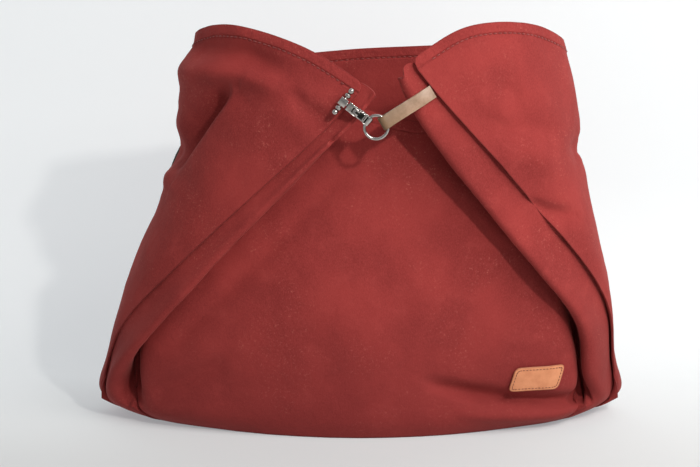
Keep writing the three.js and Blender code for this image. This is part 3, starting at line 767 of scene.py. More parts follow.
@dataclass
class Wall:
    """A leather wall that is refined from its CAD node, folded, wrinkled and given thickness.

    The node's outer skin ends at edges sharper than split, and the bevel rounds those sharper
    than crisp. Leather in front of fine_front is refined once more. Above soft_above the sheet's
    outline is smoothed, at its corners or, with soft_edge, all along it.
    """

    node: str
    material: Material
    folds: tuple = ()
    levels: int = 2
    fine_front: float | None = None
    thickness: float = 0.0018
    waves: float = 0.0009
    ripples: float = 0.00035
    hole_sides: int = 40
    hemmed: bool = False
    split: float = 42.0
    crisp: float = 62.0
    soft_above: float = 1.0
    soft_edge: bool = False
    soft_reach: float = 0.016
    soft_rounds: int = 60
    relaxing: int = 0
    wave_scale: float = 16
    ripple_scale: float = 55
    calm_below: float = 0.004
    calm_fade: float = 0.03
    hem_width: float = 0.0105
    hem_step: float = 0.0025
    hem_rise: float = 0.0005
    slot: Slot = Slot.RED
    top_line: list[Vector] = field(default_factory=list)

    def build(self) -> Object:
        """Builds the wall.

        Returns:
            The finished piece.
        """
        obj = new_object(self.node + "_leather", self.sheet(), self.material)
        subdivide(obj, self.levels, "PRESERVE_CORNERS")
        self.shape(obj)
        solid = obj.modifiers.new("thick", "SOLIDIFY")
        solid.thickness = self.thickness
        solid.offset = -1
        solid.use_even_offset = False
        solid.use_quality_normals = True
        add_bevel(obj, 0.0005, 2, self.crisp)
        return bag_piece(obj, self.slot, self.node)

    def sheet(self) -> BMesh:
        """Takes the outer skin from the node.

        Returns:
            One open sheet of mostly four-sided faces.
        """
        bm = node_mesh(self.node, 1e-5)
        bm.normal_update()
        join_faces(bm, 40)
        keep = set(max(self.smooth_groups(bm)[:2], key=self.outwardness))
        bmesh.ops.delete(bm, geom=[f for f in bm.faces if f not in keep], context="FACES")
        edges = [e for e in bm.edges if e.is_boundary]
        bmesh.ops.holes_fill(bm, edges=edges, sides=self.hole_sides)
        join_faces(bm, 180)
        for corner in sharp_corners(bm):
            inner = [e for e in corner.link_edges if not e.is_boundary]
            bmesh.ops.dissolve_edges(bm, edges=inner)
        bm.normal_update()
        return bm

    def smooth_groups(self, bm: BMesh) -> list:
        """Gathers faces that meet without a sharp edge.

        Args:
            bm: the mesh.

        Returns:
            The groups of faces, the largest first.
        """
        limit = math.radians(self.split)
        left = set(bm.faces)
        groups = []
        while left:
            stack = [left.pop()]
            group = []
            while stack:
                face = stack.pop()
                group.append(face)
                for edge in face.edges:
                    if edge.calc_face_angle(math.pi) > limit:
                        continue
                    for other in edge.link_faces:
                        if other in left:
                            left.remove(other)
                            stack.append(other)
            groups.append(group)
        return sorted(groups, key=lambda faces: -sum(f.calc_area() for f in faces))

    @staticmethod
    def outwardness(faces: Iterable[BMFace]) -> float:
        """How much some faces look away from the bag's upright middle line.

        Args:
            faces: the faces.

        Returns:
            A measure that is positive for an outer skin.
        """
        total = 0.0
        for face in faces:
            centre = face.calc_center_median()
            away = Vector((centre.x, centre.y + 0.01, 0.0))
            total += face.calc_area() * face.normal.dot(away)
        return total

    def shape(self, obj: Object) -> None:
        """Presses folds and wrinkles into the sheet and measures it for its material.

        Args:
            obj: the object that holds the sheet.
        """
        bm = bmesh.new()
        bm.from_mesh(obj.data)
        if self.fine_front is not None:
            front = [e for e in bm.edges if all(v.co.y < self.fine_front for v in e.verts)]
            bmesh.ops.subdivide_edges(bm, edges=front, cuts=1, use_grid_fill=True)
            relax(bm, [v for v in bm.verts if v.co.y < self.fine_front and not v.is_boundary], 2)
        relax(bm, [v for v in bm.verts if not v.is_boundary], self.relaxing)
        if self.hemmed:
            self.top_line = chain_points(top_chain(bm))
        bm.normal_update()
        rim_tree, hem_tree = self.edge_trees(bm)
        self.soften_corners(bm)
        rim = bm.verts.layers.float.new("rim")
        hem = bm.verts.layers.float.new("hem")
        for vert in bm.verts:
            vert[rim] = rim_tree.find(vert.co)[2]
            vert[hem] = hem_tree.find(vert.co)[2] if hem_tree else 1.0
        normals = {v: v.normal.copy() for v in bm.verts}
        for vert in bm.verts:
            vert.co += normals[vert] * self.rise(vert.co, vert[hem])
        bm.to_mesh(obj.data)
        bm.free()
        obj.data.shade_smooth()

    def soften_corners(self, bm: BMesh) -> None:
        """Rounds the sheet's outline at its upper corners.

        Args:
            bm: the sheet.
        """
        if self.soft_edge:
            near = [v for v in bm.verts if v.is_boundary and v.co.z > self.soft_above]
        else:
            corners = [v.co.copy() for v in sharp_corners(bm, 25) if v.co.z > self.soft_above]
            near = [
                v for v in bm.verts
                if v.is_boundary and any((v.co - c).length < self.soft_reach for c in corners)
            ]
        pairs = {v: [e.other_vert(v) for e in v.link_edges if e.is_boundary] for v in near}
        for _ in range(self.soft_rounds):
            moved = {v: (v.co * 2 + a.co + b.co) / 4 for v, (a, b) in pairs.items()}
            for vert, place in moved.items():
                vert.co = place
        spots = [v.co.copy() for v in near]
        inner = [
            v for v in bm.verts
            if not v.is_boundary and any((v.co - s).length < self.soft_reach for s in spots)
        ]
        relax(bm, inner, self.soft_rounds)
        bm.normal_update()

    def rise(self, place: Vector, hem: float) -> float:
        """How far the leather stands out at a place.

        Args:
            place: the place on the sheet.
            hem: its distance from the top hem.

        Returns:
            The distance along the sheet's normal.
        """
        waves = noise.fractal(place * self.wave_scale, 0.9, 2.1, 2) * self.waves
        shifted = place * self.ripple_scale + Vector((3, 7, 1))
        ripples = noise.fractal(shifted, 0.8, 2.2, 3) * self.ripples
        calm = min(1.0, max(0.0, (place.z - self.calm_below) / self.calm_fade))
        doubled = self.hem_rise * min(1.0, max(0.0, (self.hem_width - hem) / self.hem_step))
        return (waves + ripples) * calm + doubled - sum(fold.push(place) for fold in self.folds)

    def edge_trees(self, bm: BMesh) -> tuple:
        """Search trees of points along the sheet's whole outline, and along its top edge alone.

        Args:
            bm: the sheet.

        Returns:
            The two trees. The second is None where the wall has no hem.
        """
        chains = {"rim": [], "hem": []}
        top_edges = set(top_chain(bm)) if self.hemmed else set()
        for edge in bm.edges:
            if not edge.is_boundary:
                continue
            a, b = (v.co for v in edge.verts)
            count = max(1, math.ceil((b - a).length / 0.001))
            points = [a.lerp(b, k / count) for k in range(count + 1)]
            chains["rim"] += points
            if edge in top_edges:
                chains["hem"] += points
        trees = []
        for name in ("rim", "hem"):
            tree = KDTree(len(chains[name])) if chains[name] else None
            if tree:
                for i, point in enumerate(chains[name]):
                    tree.insert(point, i)
                tree.balance()
            trees.append(tree)
        return tuple(trees)


def sharp_corners(bm: BMesh, least: float = 50.0) -> list[BMVert]:
    """The points of a sheet where its edge turns sharply.

    Args:
        bm: the sheet.
        least: the smallest turn in degrees.

    Returns:
        The corner points.
    """
    corners = []
    for vert in bm.verts:
        if vert.is_boundary:
            a, b = (e.other_vert(vert).co for e in vert.link_edges if e.is_boundary)
            if (vert.co - a).angle(b - vert.co, 0.0) > math.radians(least):
                corners.append(vert)
    return corners


def top_chain(bm: BMesh) -> list[BMEdge]:
    """The edges of a four-cornered sheet's top side, in order.

    Args:
        bm: the sheet.

    Returns:
        The edges from one top corner to the other.
    """
    corners = sharp_corners(bm)
    best: list[BMEdge] = []
    height = -1.0
    for corner in corners:
        for start in corner.link_edges:
            chain = [start]
            vert = start.other_vert(corner)
            while vert not in corners:
                onward = [e for e in vert.link_edges if e.is_boundary and e is not chain[-1]]
                if not onward:
                    break
                chain.append(onward[0])
                vert = onward[0].other_vert(vert)
            mean = sum((e.verts[0].co.z + e.verts[1].co.z) / 2 for e in chain) / len(chain)
            if mean > height + 1e-6:
                best, height = chain, mean
    return best


@dataclass
class Sewing:
    """A row of stitches that follows an edge of a piece of leather."""

    name: str
    leather: Object
    line: Sequence[Vector]
    material: Material
    slot: Slot
    inset: float
    thickness: float = 0.0018
    sides: Sequence[Side] = tuple(Side)
    margin: int = 2
    stitches: Stitches = field(default_factory=Stitches)

    def build(self) -> Object:
        """Sews the row.

        Returns:
            The finished piece.
        """
        bm = bmesh.new()
        bm.from_mesh(self.leather.data)
        tree = BVHTree.FromBMesh(bm)
        bm.free()
        thread = bmesh.new()
        for side in self.sides:
            points, normals = self.on_leather(evened(self.line, self.stitches.pitch), tree, side)
            self.stitches.add_row(thread, points, normals)
        return bag_piece(new_object(self.name, thread, self.material), self.slot)

    def on_leather(self, line: Sequence[Vector], tree: BVHTree, side: Side) -> tuple:
        """Moves a line from the edge onto the leather.

        Args:
            line: points along the edge.
            tree: the search tree of the sheet.
            side: which face of the leather the row lies on.

        Returns:
            The new points and the directions away from the leather.
        """
        points, normals = [], []
        count = len(line)
        closed = (line[0] - line[-1]).length < 1e-6
        for i in range(self.margin, count - self.margin):
            after = line[(i + 1) % (count - 1)] if closed else line[i + 1]
            before = line[(i - 1) % (count - 1)] if closed else line[i - 1]
            run = (after - before).normalized()
            normal = tree.find_nearest(line[i])[1]
            aside = run.cross(normal).normalized() * self.inset
            inward = min(aside, -aside, key=lambda way: tree.find_nearest(line[i] + way)[3])
            place, normal, _, _ = tree.find_nearest(line[i] + inward)
            if side is Side.INNER:
                place = place - normal * self.thickness
                normal = -normal
            points.append(place)
            normals.append(normal)
        return points, normals


def rim_points(obj: Object) -> list[Vector]:
    """The points round the rim of a patch.

    Args:
        obj: the object whose mesh is the sheet.

    Returns:
        The points in order, where the last is the first one again.
    """
    bm = bmesh.new()
    bm.from_mesh(obj.data)
    line = chain_points(rim_loop(bm))
    bm.free()
    return line


def chain_points(edges: Sequence[BMEdge]) -> list[Vector]:
    """The points along a chain of edges in order.

    Args:
        edges: the chain.

    Returns:
        The points.
    """
    first, second = edges[0].verts
    if first in edges[1].verts:
        first, second = second, first
    line = [first.co.copy(), second.co.copy()]
    vert = second
    for edge in edges[1:]:
        vert = edge.other_vert(vert)
        line.append(vert.co.copy())
    return line


def rim_loop(bm: BMesh) -> list[BMEdge]:
    """The edges round a sheet.

    Args:
        bm: the sheet.

    Returns:
        The edges in order.
    """
    chain = [next(e for e in bm.edges if e.is_boundary)]
    vert = chain[0].verts[1]
    while True:
        onward = next(e for e in vert.link_edges if e.is_boundary and e is not chain[-1])
        if onward is chain[0]:
            return chain
        chain.append(onward)
        vert = onward.other_vert(vert)


# Pieces that keep their CAD form, and the hardware.


@dataclass
class Casting:
    """A piece that keeps its CAD form, with its edges rounded.

    The second material, edge paint on leather and a dark nickel as painted shade on the hook, covers
    the rounded edges of a painted piece, faces narrower than edge_side, and the window: a hollow in
    the front that leaves a rim as wide as window says. It begins at the plane of window_start, a
    point and a direction.
    """

    node: str
    material: Material
    slot: Slot
    edge: float = 0.0004
    segments: int = 2
    levels: int = 0
    body: str = BAG_BODY
    sharp: float = 50.0
    edge_paint_or_shade: Material | None = None
    painted: bool = False
    edge_side: float = 0.0
    window: float = 0.0
    window_depth: float = 0.0005
    window_start: tuple | None = None
    grow: tuple = (1.0, 1.0, 1.0)

    def build(self) -> Object:
        """Builds the piece.

        Returns:
            The finished piece.
        """
        bm = node_mesh(self.node)
        if self.levels:
            join_faces(bm, 40)
            crease = bm.edges.layers.float.new("crease_edge")
            for edge in bm.edges:
                edge[crease] = float(edge.calc_face_angle(0.0) > math.radians(self.sharp))
        else:
            bmesh.ops.dissolve_limit(bm, angle_limit=math.radians(3), verts=bm.verts, edges=bm.edges)
            bm.normal_update()
        low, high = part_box(self.node)
        middle = Matrix.Translation((low + high) / -2)
        bmesh.ops.scale(bm, vec=self.grow, space=middle, verts=bm.verts)
        if self.edge_side:
            self.paint_sides(bm)
        if self.window:
            self.sink_window(bm)
        obj = new_object(self.node + "_form", bm, self.material)
        if self.edge_paint_or_shade:
            obj.data.materials.append(self.edge_paint_or_shade)
        if self.levels:
            subdivide(obj, self.levels)
        painted = 1 if self.painted else -1
        add_bevel(obj, self.edge, self.segments, self.sharp, harden=True, material=painted)
        return bag_piece(obj, self.slot, self.node, body=self.body)

    def paint_sides(self, bm: BMesh) -> None:
        """Gives the narrow faces the edge's material.

        Args:
            bm: the piece's mesh.
        """
        for face in bm.faces:
            flat = [e for e in face.edges if e.calc_face_angle(0.0) < math.radians(self.sharp)]
            if min(e.calc_length() for e in flat or face.edges) < self.edge_side:
                face.material_index = 1

    def sink_window(self, bm: BMesh) -> None:
        """Sinks a window into the front and gives it the second material, on the hook a dark nickel as
        painted shade in the recess.

        Args:
            bm: the piece's mesh.
        """
        faces = self.front_faces(bm)
        if self.window_start:
            start, onward = self.window_start
            edges = dict.fromkeys(e for f in faces for e in f.edges)
            verts = dict.fromkeys(v for f in faces for v in f.verts)
            bmesh.ops.bisect_plane(
                bm, geom=[*faces, *edges, *verts], plane_co=start, plane_no=onward,
            )
            faces = [
                f for f in self.front_faces(bm)
                if (f.calc_center_median() - start).dot(onward) > 0
            ]
        bmesh.ops.inset_region(
            bm, faces=faces, thickness=self.window, depth=-self.window_depth, use_even_offset=True,
        )
        for face in faces:
            face.material_index = 1

    @staticmethod
    def front_faces(bm: BMesh) -> list[BMFace]:
        """The forward-looking faces at the very front of a mesh.

        Args:
            bm: the mesh.

        Returns:
            The faces.
        """
        nearest = min(v.co.y for v in bm.verts)
        return [
            f for f in bm.faces
            if f.normal.y < -0.99 and f.calc_center_median().y < nearest + 1e-5
        ]


def turned(bm: BMesh, profile: Sequence, place: Matrix, closed: bool = False,
           steps: int = 28) -> None:
    """Adds a shape that is turned round the z axis of a place.

    Args:
        bm: the mesh that it is added to.
        profile: its radii and heights.
        place: where its own axes are.
        closed: whether the profile's last point joins its first.
        steps: how many steps it has round.
    """
    before = set(bm.verts)
    verts = [bmesh.ops.create_vert(bm, co=(radius, 0, height))["vert"][0] for radius, height in profile]
    edges = [bm.edges.new(pair) for pair in zip(verts, verts[1:])]
    if closed:
        edges.append(bm.edges.new((verts[-1], verts[0])))
    bmesh.ops.spin(
        bm, geom=verts + edges, cent=(0, 0, 0), axis=(0, 0, 1), angle=math.tau, steps=steps, use_merge=True,
    )
    added = [v for v in bm.verts if v not in before]
    bmesh.ops.remove_doubles(bm, verts=added, dist=1e-7)
    added = [v for v in bm.verts if v not in before]
    bmesh.ops.transform(bm, matrix=place, verts=added)


def dome(radius: float, height: float, start: float, steps: int = 5) -> list[tuple[float, float]]:
    """A quarter-round profile from an edge to its top on the axis.

    Args:
        radius: the edge's radius.
        height: how high the top is over the edge, negative for one below it.
        start: the edge's height.
        steps: how many steps it has.

    Returns:
        Its radii and heights.
    """
    angles = [math.pi / 2 * k / steps for k in range(steps + 1)]
    return [(radius * math.cos(a) if a < 1.57 else 0.0, start + height * math.sin(a)) for a in angles]


def wire(bm: BMesh, points: Sequence[Vector], radius: float, sides: int = 14) -> None:
    """Adds a round wire along a line of points, with flat ends.

    Args:
        bm: the mesh that it is added to.
        points: its middle line.
        radius: its radius.
        sides: how many sides it has.
    """
    run = (points[1] - points[0]).normalized()
    turn = run.to_track_quat("Z", "Y").to_matrix().to_4x4()
    place = Matrix.Translation(points[0]) @ turn
    ring = bmesh.ops.create_circle(bm, cap_ends=False, segments=sides, radius=radius, matrix=place)["verts"]
    edges = list({e for v in ring for e in v.link_edges})
    bmesh.ops.edgeloop_fill(bm, edges=edges)
    for i in range(1, len(points)):
        last = i == len(points) - 1
        onward = run if last else ((points[i + 1] - points[i]).normalized() + run).normalized()
        bend = run.rotation_difference(onward) if not last else Quaternion()
        geometry = bmesh.ops.extrude_edge_only(bm, edges=edges)["geom"]
        ring = [g for g in geometry if isinstance(g, BMVert)]
        edges = [g for g in geometry if isinstance(g, BMEdge)]
        middle = sum((v.co for v in ring), Vector()) / len(ring)
        matrix = Matrix.Translation(points[i]) @ bend.to_matrix().to_4x4() @ Matrix.Translation(-middle)
        bmesh.ops.transform(bm, matrix=matrix, verts=ring)
        if not last:
            run = onward
    bmesh.ops.edgeloop_fill(bm, edges=edges)


@dataclass
class SnapHook:
    """The snap hook, its shackle and the ring, in directions along, across and out of the hook."""

    metal: Material
    shade: Material
    angle: float = -38.0
    ring_reach: float = 0.032706
    ring_radius: float = 0.00925
    ring_wire: float = 0.0025
    shackle_span: float = 0.012
    shackle_wire: float = 0.0028
    shackle_depth: float = 0.0151
    shackle_bend: float = 0.002
    eye_radius: float = 0.0026
    eye_bore: float = 0.0015
    eye_round: float = 0.0004
    pin_radius: float = 0.0012
    ball_radius: float = 0.0025
    ball_gap: float = 0.0003
    gate_pin_radius: float = 0.0008
    gate_pin_reach: float = 0.0115
    gate_pin_height: float = 0.001694
    gate_pin_half: float = 0.0038
    gate_pin_round: float = 0.0004
    window_start: float = 0.0095

    def __post_init__(self) -> None:
        """Finds the hook's place from the ring."""
        turn = math.radians(self.angle)
        self.along = Vector((math.cos(turn), 0.0, math.sin(turn)))
        self.across = Vector((-math.sin(turn), 0.0, math.cos(turn)))
        low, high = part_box("tab_ring")
        self.ring_centre = (low + high) / 2
        self.origin = self.ring_centre - self.along * self.ring_reach

    def at(self, along: float, across: float, out: float) -> Vector:
        """A point of the hook's own space."""
        return self.origin + self.along * along + self.across * across + FRONT * out

    def lathe(self, middle: Vector) -> Matrix:
        """A place whose z axis runs across the hook."""
        return basis(middle, self.along, FRONT, self.across)

    def build(self) -> None:
        """Builds the hook's pieces."""
        self.ring()
        self.shackle()
        self.pins()
        Casting("hook_swivel", self.metal, Slot.NICKEL, edge=0.0009, segments=3).build()
        # The windows sunk into the body and the gate take the dark nickel, a painted shade in the recess.
        Casting(
            "hook_body", self.metal, Slot.NICKEL, edge=0.00030, edge_paint_or_shade=self.shade,
            window=0.0006, window_start=(self.at(self.window_start, 0, 0), self.along),
        ).build()
        Casting(
            "hook_gate", self.metal, Slot.NICKEL, edge=0.00025, body=GATE_BODY,
            edge_paint_or_shade=self.shade, window=0.0009,
        ).build()

    def ring(self) -> None:
        """Builds the ring."""
        bm = bmesh.new()
        place = Matrix.Translation((self.ring_radius, 0, 0)) @ Matrix.Rotation(math.pi / 2, 4, "X")
        circle = bmesh.ops.create_circle(bm, segments=14, radius=self.ring_wire / 2, matrix=place)
        edges = list({e for v in circle["verts"] for e in v.link_edges})
        bmesh.ops.spin(
            bm, geom=circle["verts"] + edges, cent=(0, 0, 0), axis=(0, 0, 1),
            angle=math.tau, steps=56, use_merge=True,
        )
        bmesh.ops.transform(
            bm, matrix=basis(self.ring_centre, self.along, self.across, FRONT), verts=bm.verts,
        )
        self.finish(bm, "ring", "tab_ring")

    def shackle(self) -> None:
        """Builds the shackle: a bent wire with an eye at each end."""
        half, depth, bend = self.shackle_span / 2, self.shackle_depth, self.shackle_bend
        angles = [math.pi / 2 * k / 5 for k in range(6)]
        side = [(half - bend * (1 - math.cos(a)), -depth + bend * (1 - math.sin(a))) for a in angles]
        leg = [(half, -self.eye_radius * 0.8), (half, -depth / 2)] + side
        points = [self.at(0, y, z) for y, z in leg] + [self.at(0, -y, z) for y, z in reversed(leg)]
        bm = bmesh.new()
        wire(bm, points, self.shackle_wire / 2)
        width, rounded = self.shackle_wire / 2, self.eye_round
        half_eye = [
            (self.eye_bore, width), (self.eye_radius - rounded, width), (self.eye_radius, width - rounded),
        ]
        eye = [(radius, -height) for radius, height in half_eye] + half_eye[::-1]
        for sign in (-1, 1):
            turned(bm, eye, self.lathe(self.at(0, sign * half, 0)), closed=True)
        self.finish(bm, "shackle", "hook_shackle")

    def pins(self) -> None:
        """Builds the shackle's pin with its two balls, and the gate's pin."""
        ball_y = self.shackle_span / 2 + self.shackle_wire / 2 + self.ball_gap + self.ball_radius
        meet = math.asin(self.pin_radius / self.ball_radius)
        angles = [meet + (math.pi - meet) * k / 12 for k in range(13)]
        ball = [(self.ball_radius * math.sin(a), ball_y - self.ball_radius * math.cos(a)) for a in angles]
        ball[-1] = (0.0, ball_y + self.ball_radius)
        profile = [(radius, -height) for radius, height in reversed(ball)] + ball
        bm = bmesh.new()
        turned(bm, profile, self.lathe(self.at(0, 0, 0)))
        self.finish(bm, "ball_pin", "shackle_pin")
        start = self.gate_pin_half - self.gate_pin_round
        end = dome(self.gate_pin_radius, self.gate_pin_round, start, 3)
        profile = [(radius, -height) for radius, height in reversed(end)] + end
        bm = bmesh.new()
        turned(bm, profile, self.lathe(self.at(self.gate_pin_reach, 0, self.gate_pin_height)), steps=16)
        self.finish(bm, "hinge_pin", "gate_pin")

    def finish(self, bm: BMesh, name: str, node: str) -> None:
        """Turns a mesh's faces outward and makes it a piece.

        Args:
            bm: the mesh.
            name: the piece's name.
            node: the CAD node that it stands for.
        """
        bmesh.ops.remove_doubles(bm, verts=bm.verts, dist=1e-7)
        bmesh.ops.recalc_face_normals(bm, faces=bm.faces)
        bag_piece(new_object(name, bm, self.metal), Slot.NICKEL, node)


@dataclass
class Strap:
    """The shoulder strap, its two rivets and its four rows of stitches."""

    leather: Material
    edge: Material
    thread: Material
    metal: Material
    width: float = 0.022
    thickness: float = 0.003
    sewn: float = 0.0026
    cap_radius: float = 0.005
    cap_height: float = 0.0016
    cap_inner: float = 0.002
    cap_under: float = 0.001

    def build(self) -> None:
        """Builds the strap's pieces."""
        Casting(
            "shoulder_strap", self.leather, Slot.STRAP, edge=0.0006, segments=3, levels=1,
            edge_paint_or_shade=self.edge, painted=True, edge_side=self.thickness + 0.0005,
        ).build()
        self.stitches()
        for side in ("left", "right"):
            self.rivet(side)

    def stitches(self) -> None:
        """Sews both edges of the strap on its two faces."""
        chains = self.long_edges()
        rows = Stitches(length=0.0036, width=0.0005, pitch=0.0052)
        count = max(2, round(line_length(chains[0]) / rows.pitch))
        first, *others = [evened(chain, line_length(chain) / count) for chain in chains]
        thin, wide, far = sorted(others, key=lambda line: (line[0] - first[0]).length)
        thread = bmesh.new()
        for line, across, under in (
            (first, wide, thin), (wide, first, far), (thin, far, first), (far, thin, wide),
        ):
            points, normals = [], []
            for a, b, c in zip(line, across, under):
                points.append(a + (b - a).normalized() * self.sewn)
                normals.append((a - c).normalized())
            rows.add_row(thread, points[3:-3], normals[3:-3])
        bag_piece(new_object("strap_stitches", thread, self.thread), Slot.STRAP)

    @staticmethod
    def long_edges() -> list[list[Vector]]:
        """Finds the strap's four long edges.

        Returns:
            The points of each from its left end to its right end.
        """
        bm = node_mesh("shoulder_strap")
        bm.normal_update()
        sharp = {e for e in bm.edges if e.calc_face_angle(0.0) > math.radians(50)}
        ends = [v for v in bm.verts if sum(e in sharp for e in v.link_edges) == 3]
        chains = []
        for start in sorted(ends, key=lambda v: v.co.x)[:4]:
            near = {v for v in ends if (v.co - start.co).length < 0.03}
            edge = next(e for e in start.link_edges if e in sharp and e.other_vert(start) not in near)
            line = [start.co.copy()]
            vert = start
            while edge is not None:
                vert = edge.other_vert(vert)
                line.append(vert.co.copy())
                onward = [e for e in vert.link_edges if e in sharp and e is not edge]
                edge = onward[0] if len(onward) == 1 else None
            chains.append(line)
        bm.free()
        return chains

    def rivet(self, side: str) -> None:
        """Builds a rivet with a domed cap at each end.

        Args:
            side: the side of the bag that it is on.
        """
        node = "strap_rivet_" + side
        bm = node_mesh(node)
        bmesh.ops.dissolve_limit(bm, angle_limit=math.radians(3), verts=bm.verts, edges=bm.edges)
        cap = max(bm.faces, key=lambda f: (round(f.calc_area() * 1e9), f.calc_center_median().y))
        axis = cap.normal.copy()
        outer = cap.calc_center_median()
        length = max((outer - v.co).dot(axis) for v in bm.verts)
        bm.free()
        rise = self.cap_height * 0.75
        under = [(radius, -self.cap_height) for radius in (self.cap_inner, self.cap_radius - self.cap_under)]
        top = under + dome(self.cap_radius, rise, -rise)
        low = [(radius, -length - height) for radius, height in top]
        bm = bmesh.new()
        x = axis.orthogonal().normalized()
        turned(bm, list(reversed(low)) + top, basis(outer, x, axis.cross(x), axis))
        bmesh.ops.recalc_face_normals(bm, faces=bm.faces)
        bag_piece(new_object("rivet_" + side, bm, self.metal), Slot.NICKEL, node)


def main() -> None:
    """Builds the bag and its studio."""
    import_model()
    red = Nubuck().build()
    nickel = Nickel().build()
    walls = {wall.node: wall for wall in leather_walls(red)}
    pieces = {node: wall.build() for node, wall in walls.items()}
    Casting("base_panel", red, Slot.RED, edge=0.0006, grow=(1.008, 1.024, 1.0)).build()
    hem_thread = Thread("hem_thread", colour(150, 60, 54)).build()
    Sewing(
        "top_hem_stitches", pieces["back_panel"], walls["back_panel"].top_line, hem_thread, Slot.RED,
        HEM_SEAM, margin=3, stitches=Stitches(width=0.00045),
    ).build()
    patch()
    tab()
    olive, dark, painted = colour(100, 78, 48), colour(66, 49, 26), colour(48, 36, 22)
    Strap(
        SmoothLeather("olive_leather", olive, dark, painted).build(),
        SmoothLeather("strap_edge_paint", painted, painted, painted, 0.45).build(),
        Thread("strap_thread", colour(150, 124, 86)).build(),
        nickel,
    ).build()
    # A dark copy of the nickel for the windows in the hook's body and gate: painted shade in their recesses.
    shade = Nickel("shaded_nickel", colour(60, 58, 54), colour(34, 32, 30)).build()
    SnapHook(nickel, shade).build()
    Studio().build()


def patch() -> None:
    """Builds the bare patch at the front and the dark thread that holds it."""
    tones = colour(212, 140, 98), colour(186, 112, 74), colour(150, 86, 58)
    leather = SmoothLeather("patch_leather", *tones, roughness=0.48, rimmed=True).build()
    wall = Wall(
        "front_patch", leather, thickness=0.0014, waves=0.0, ripples=0.00012, hole_sides=4,
        slot=Slot.PATCH,
    )
    piece = wall.build()
    thread = Thread("patch_thread", colour(140, 78, 50)).build()
    Sewing(
        "patch_stitches", piece, rim_points(piece), thread, Slot.PATCH, 0.0024,
        sides=(Side.OUTER,), margin=0, stitches=Stitches(length=0.0021, width=0.00036, pitch=0.0029),
    ).build()


def tab() -> None:
    """Builds the tan tab that holds the ring."""
    tan, dark, burnished = colour(164, 132, 108), colour(104, 76, 46), colour(132, 102, 72)
    # Painted shade: the tab darkens towards the ring, where it wraps round the ring beneath the hook.
    leather = SmoothLeather(
        "tan_leather", tan, dark, burnished, roughness=0.46, shade_start=0.046, shade_end=0.012,
    ).build()
    edge = SmoothLeather("tab_edge_paint", burnished, dark, dark, 0.5).build()
    Casting(
        "ring_tab", leather, Slot.TAN, edge=0.00045, segments=3, edge_paint_or_shade=edge, painted=True,
    ).build()


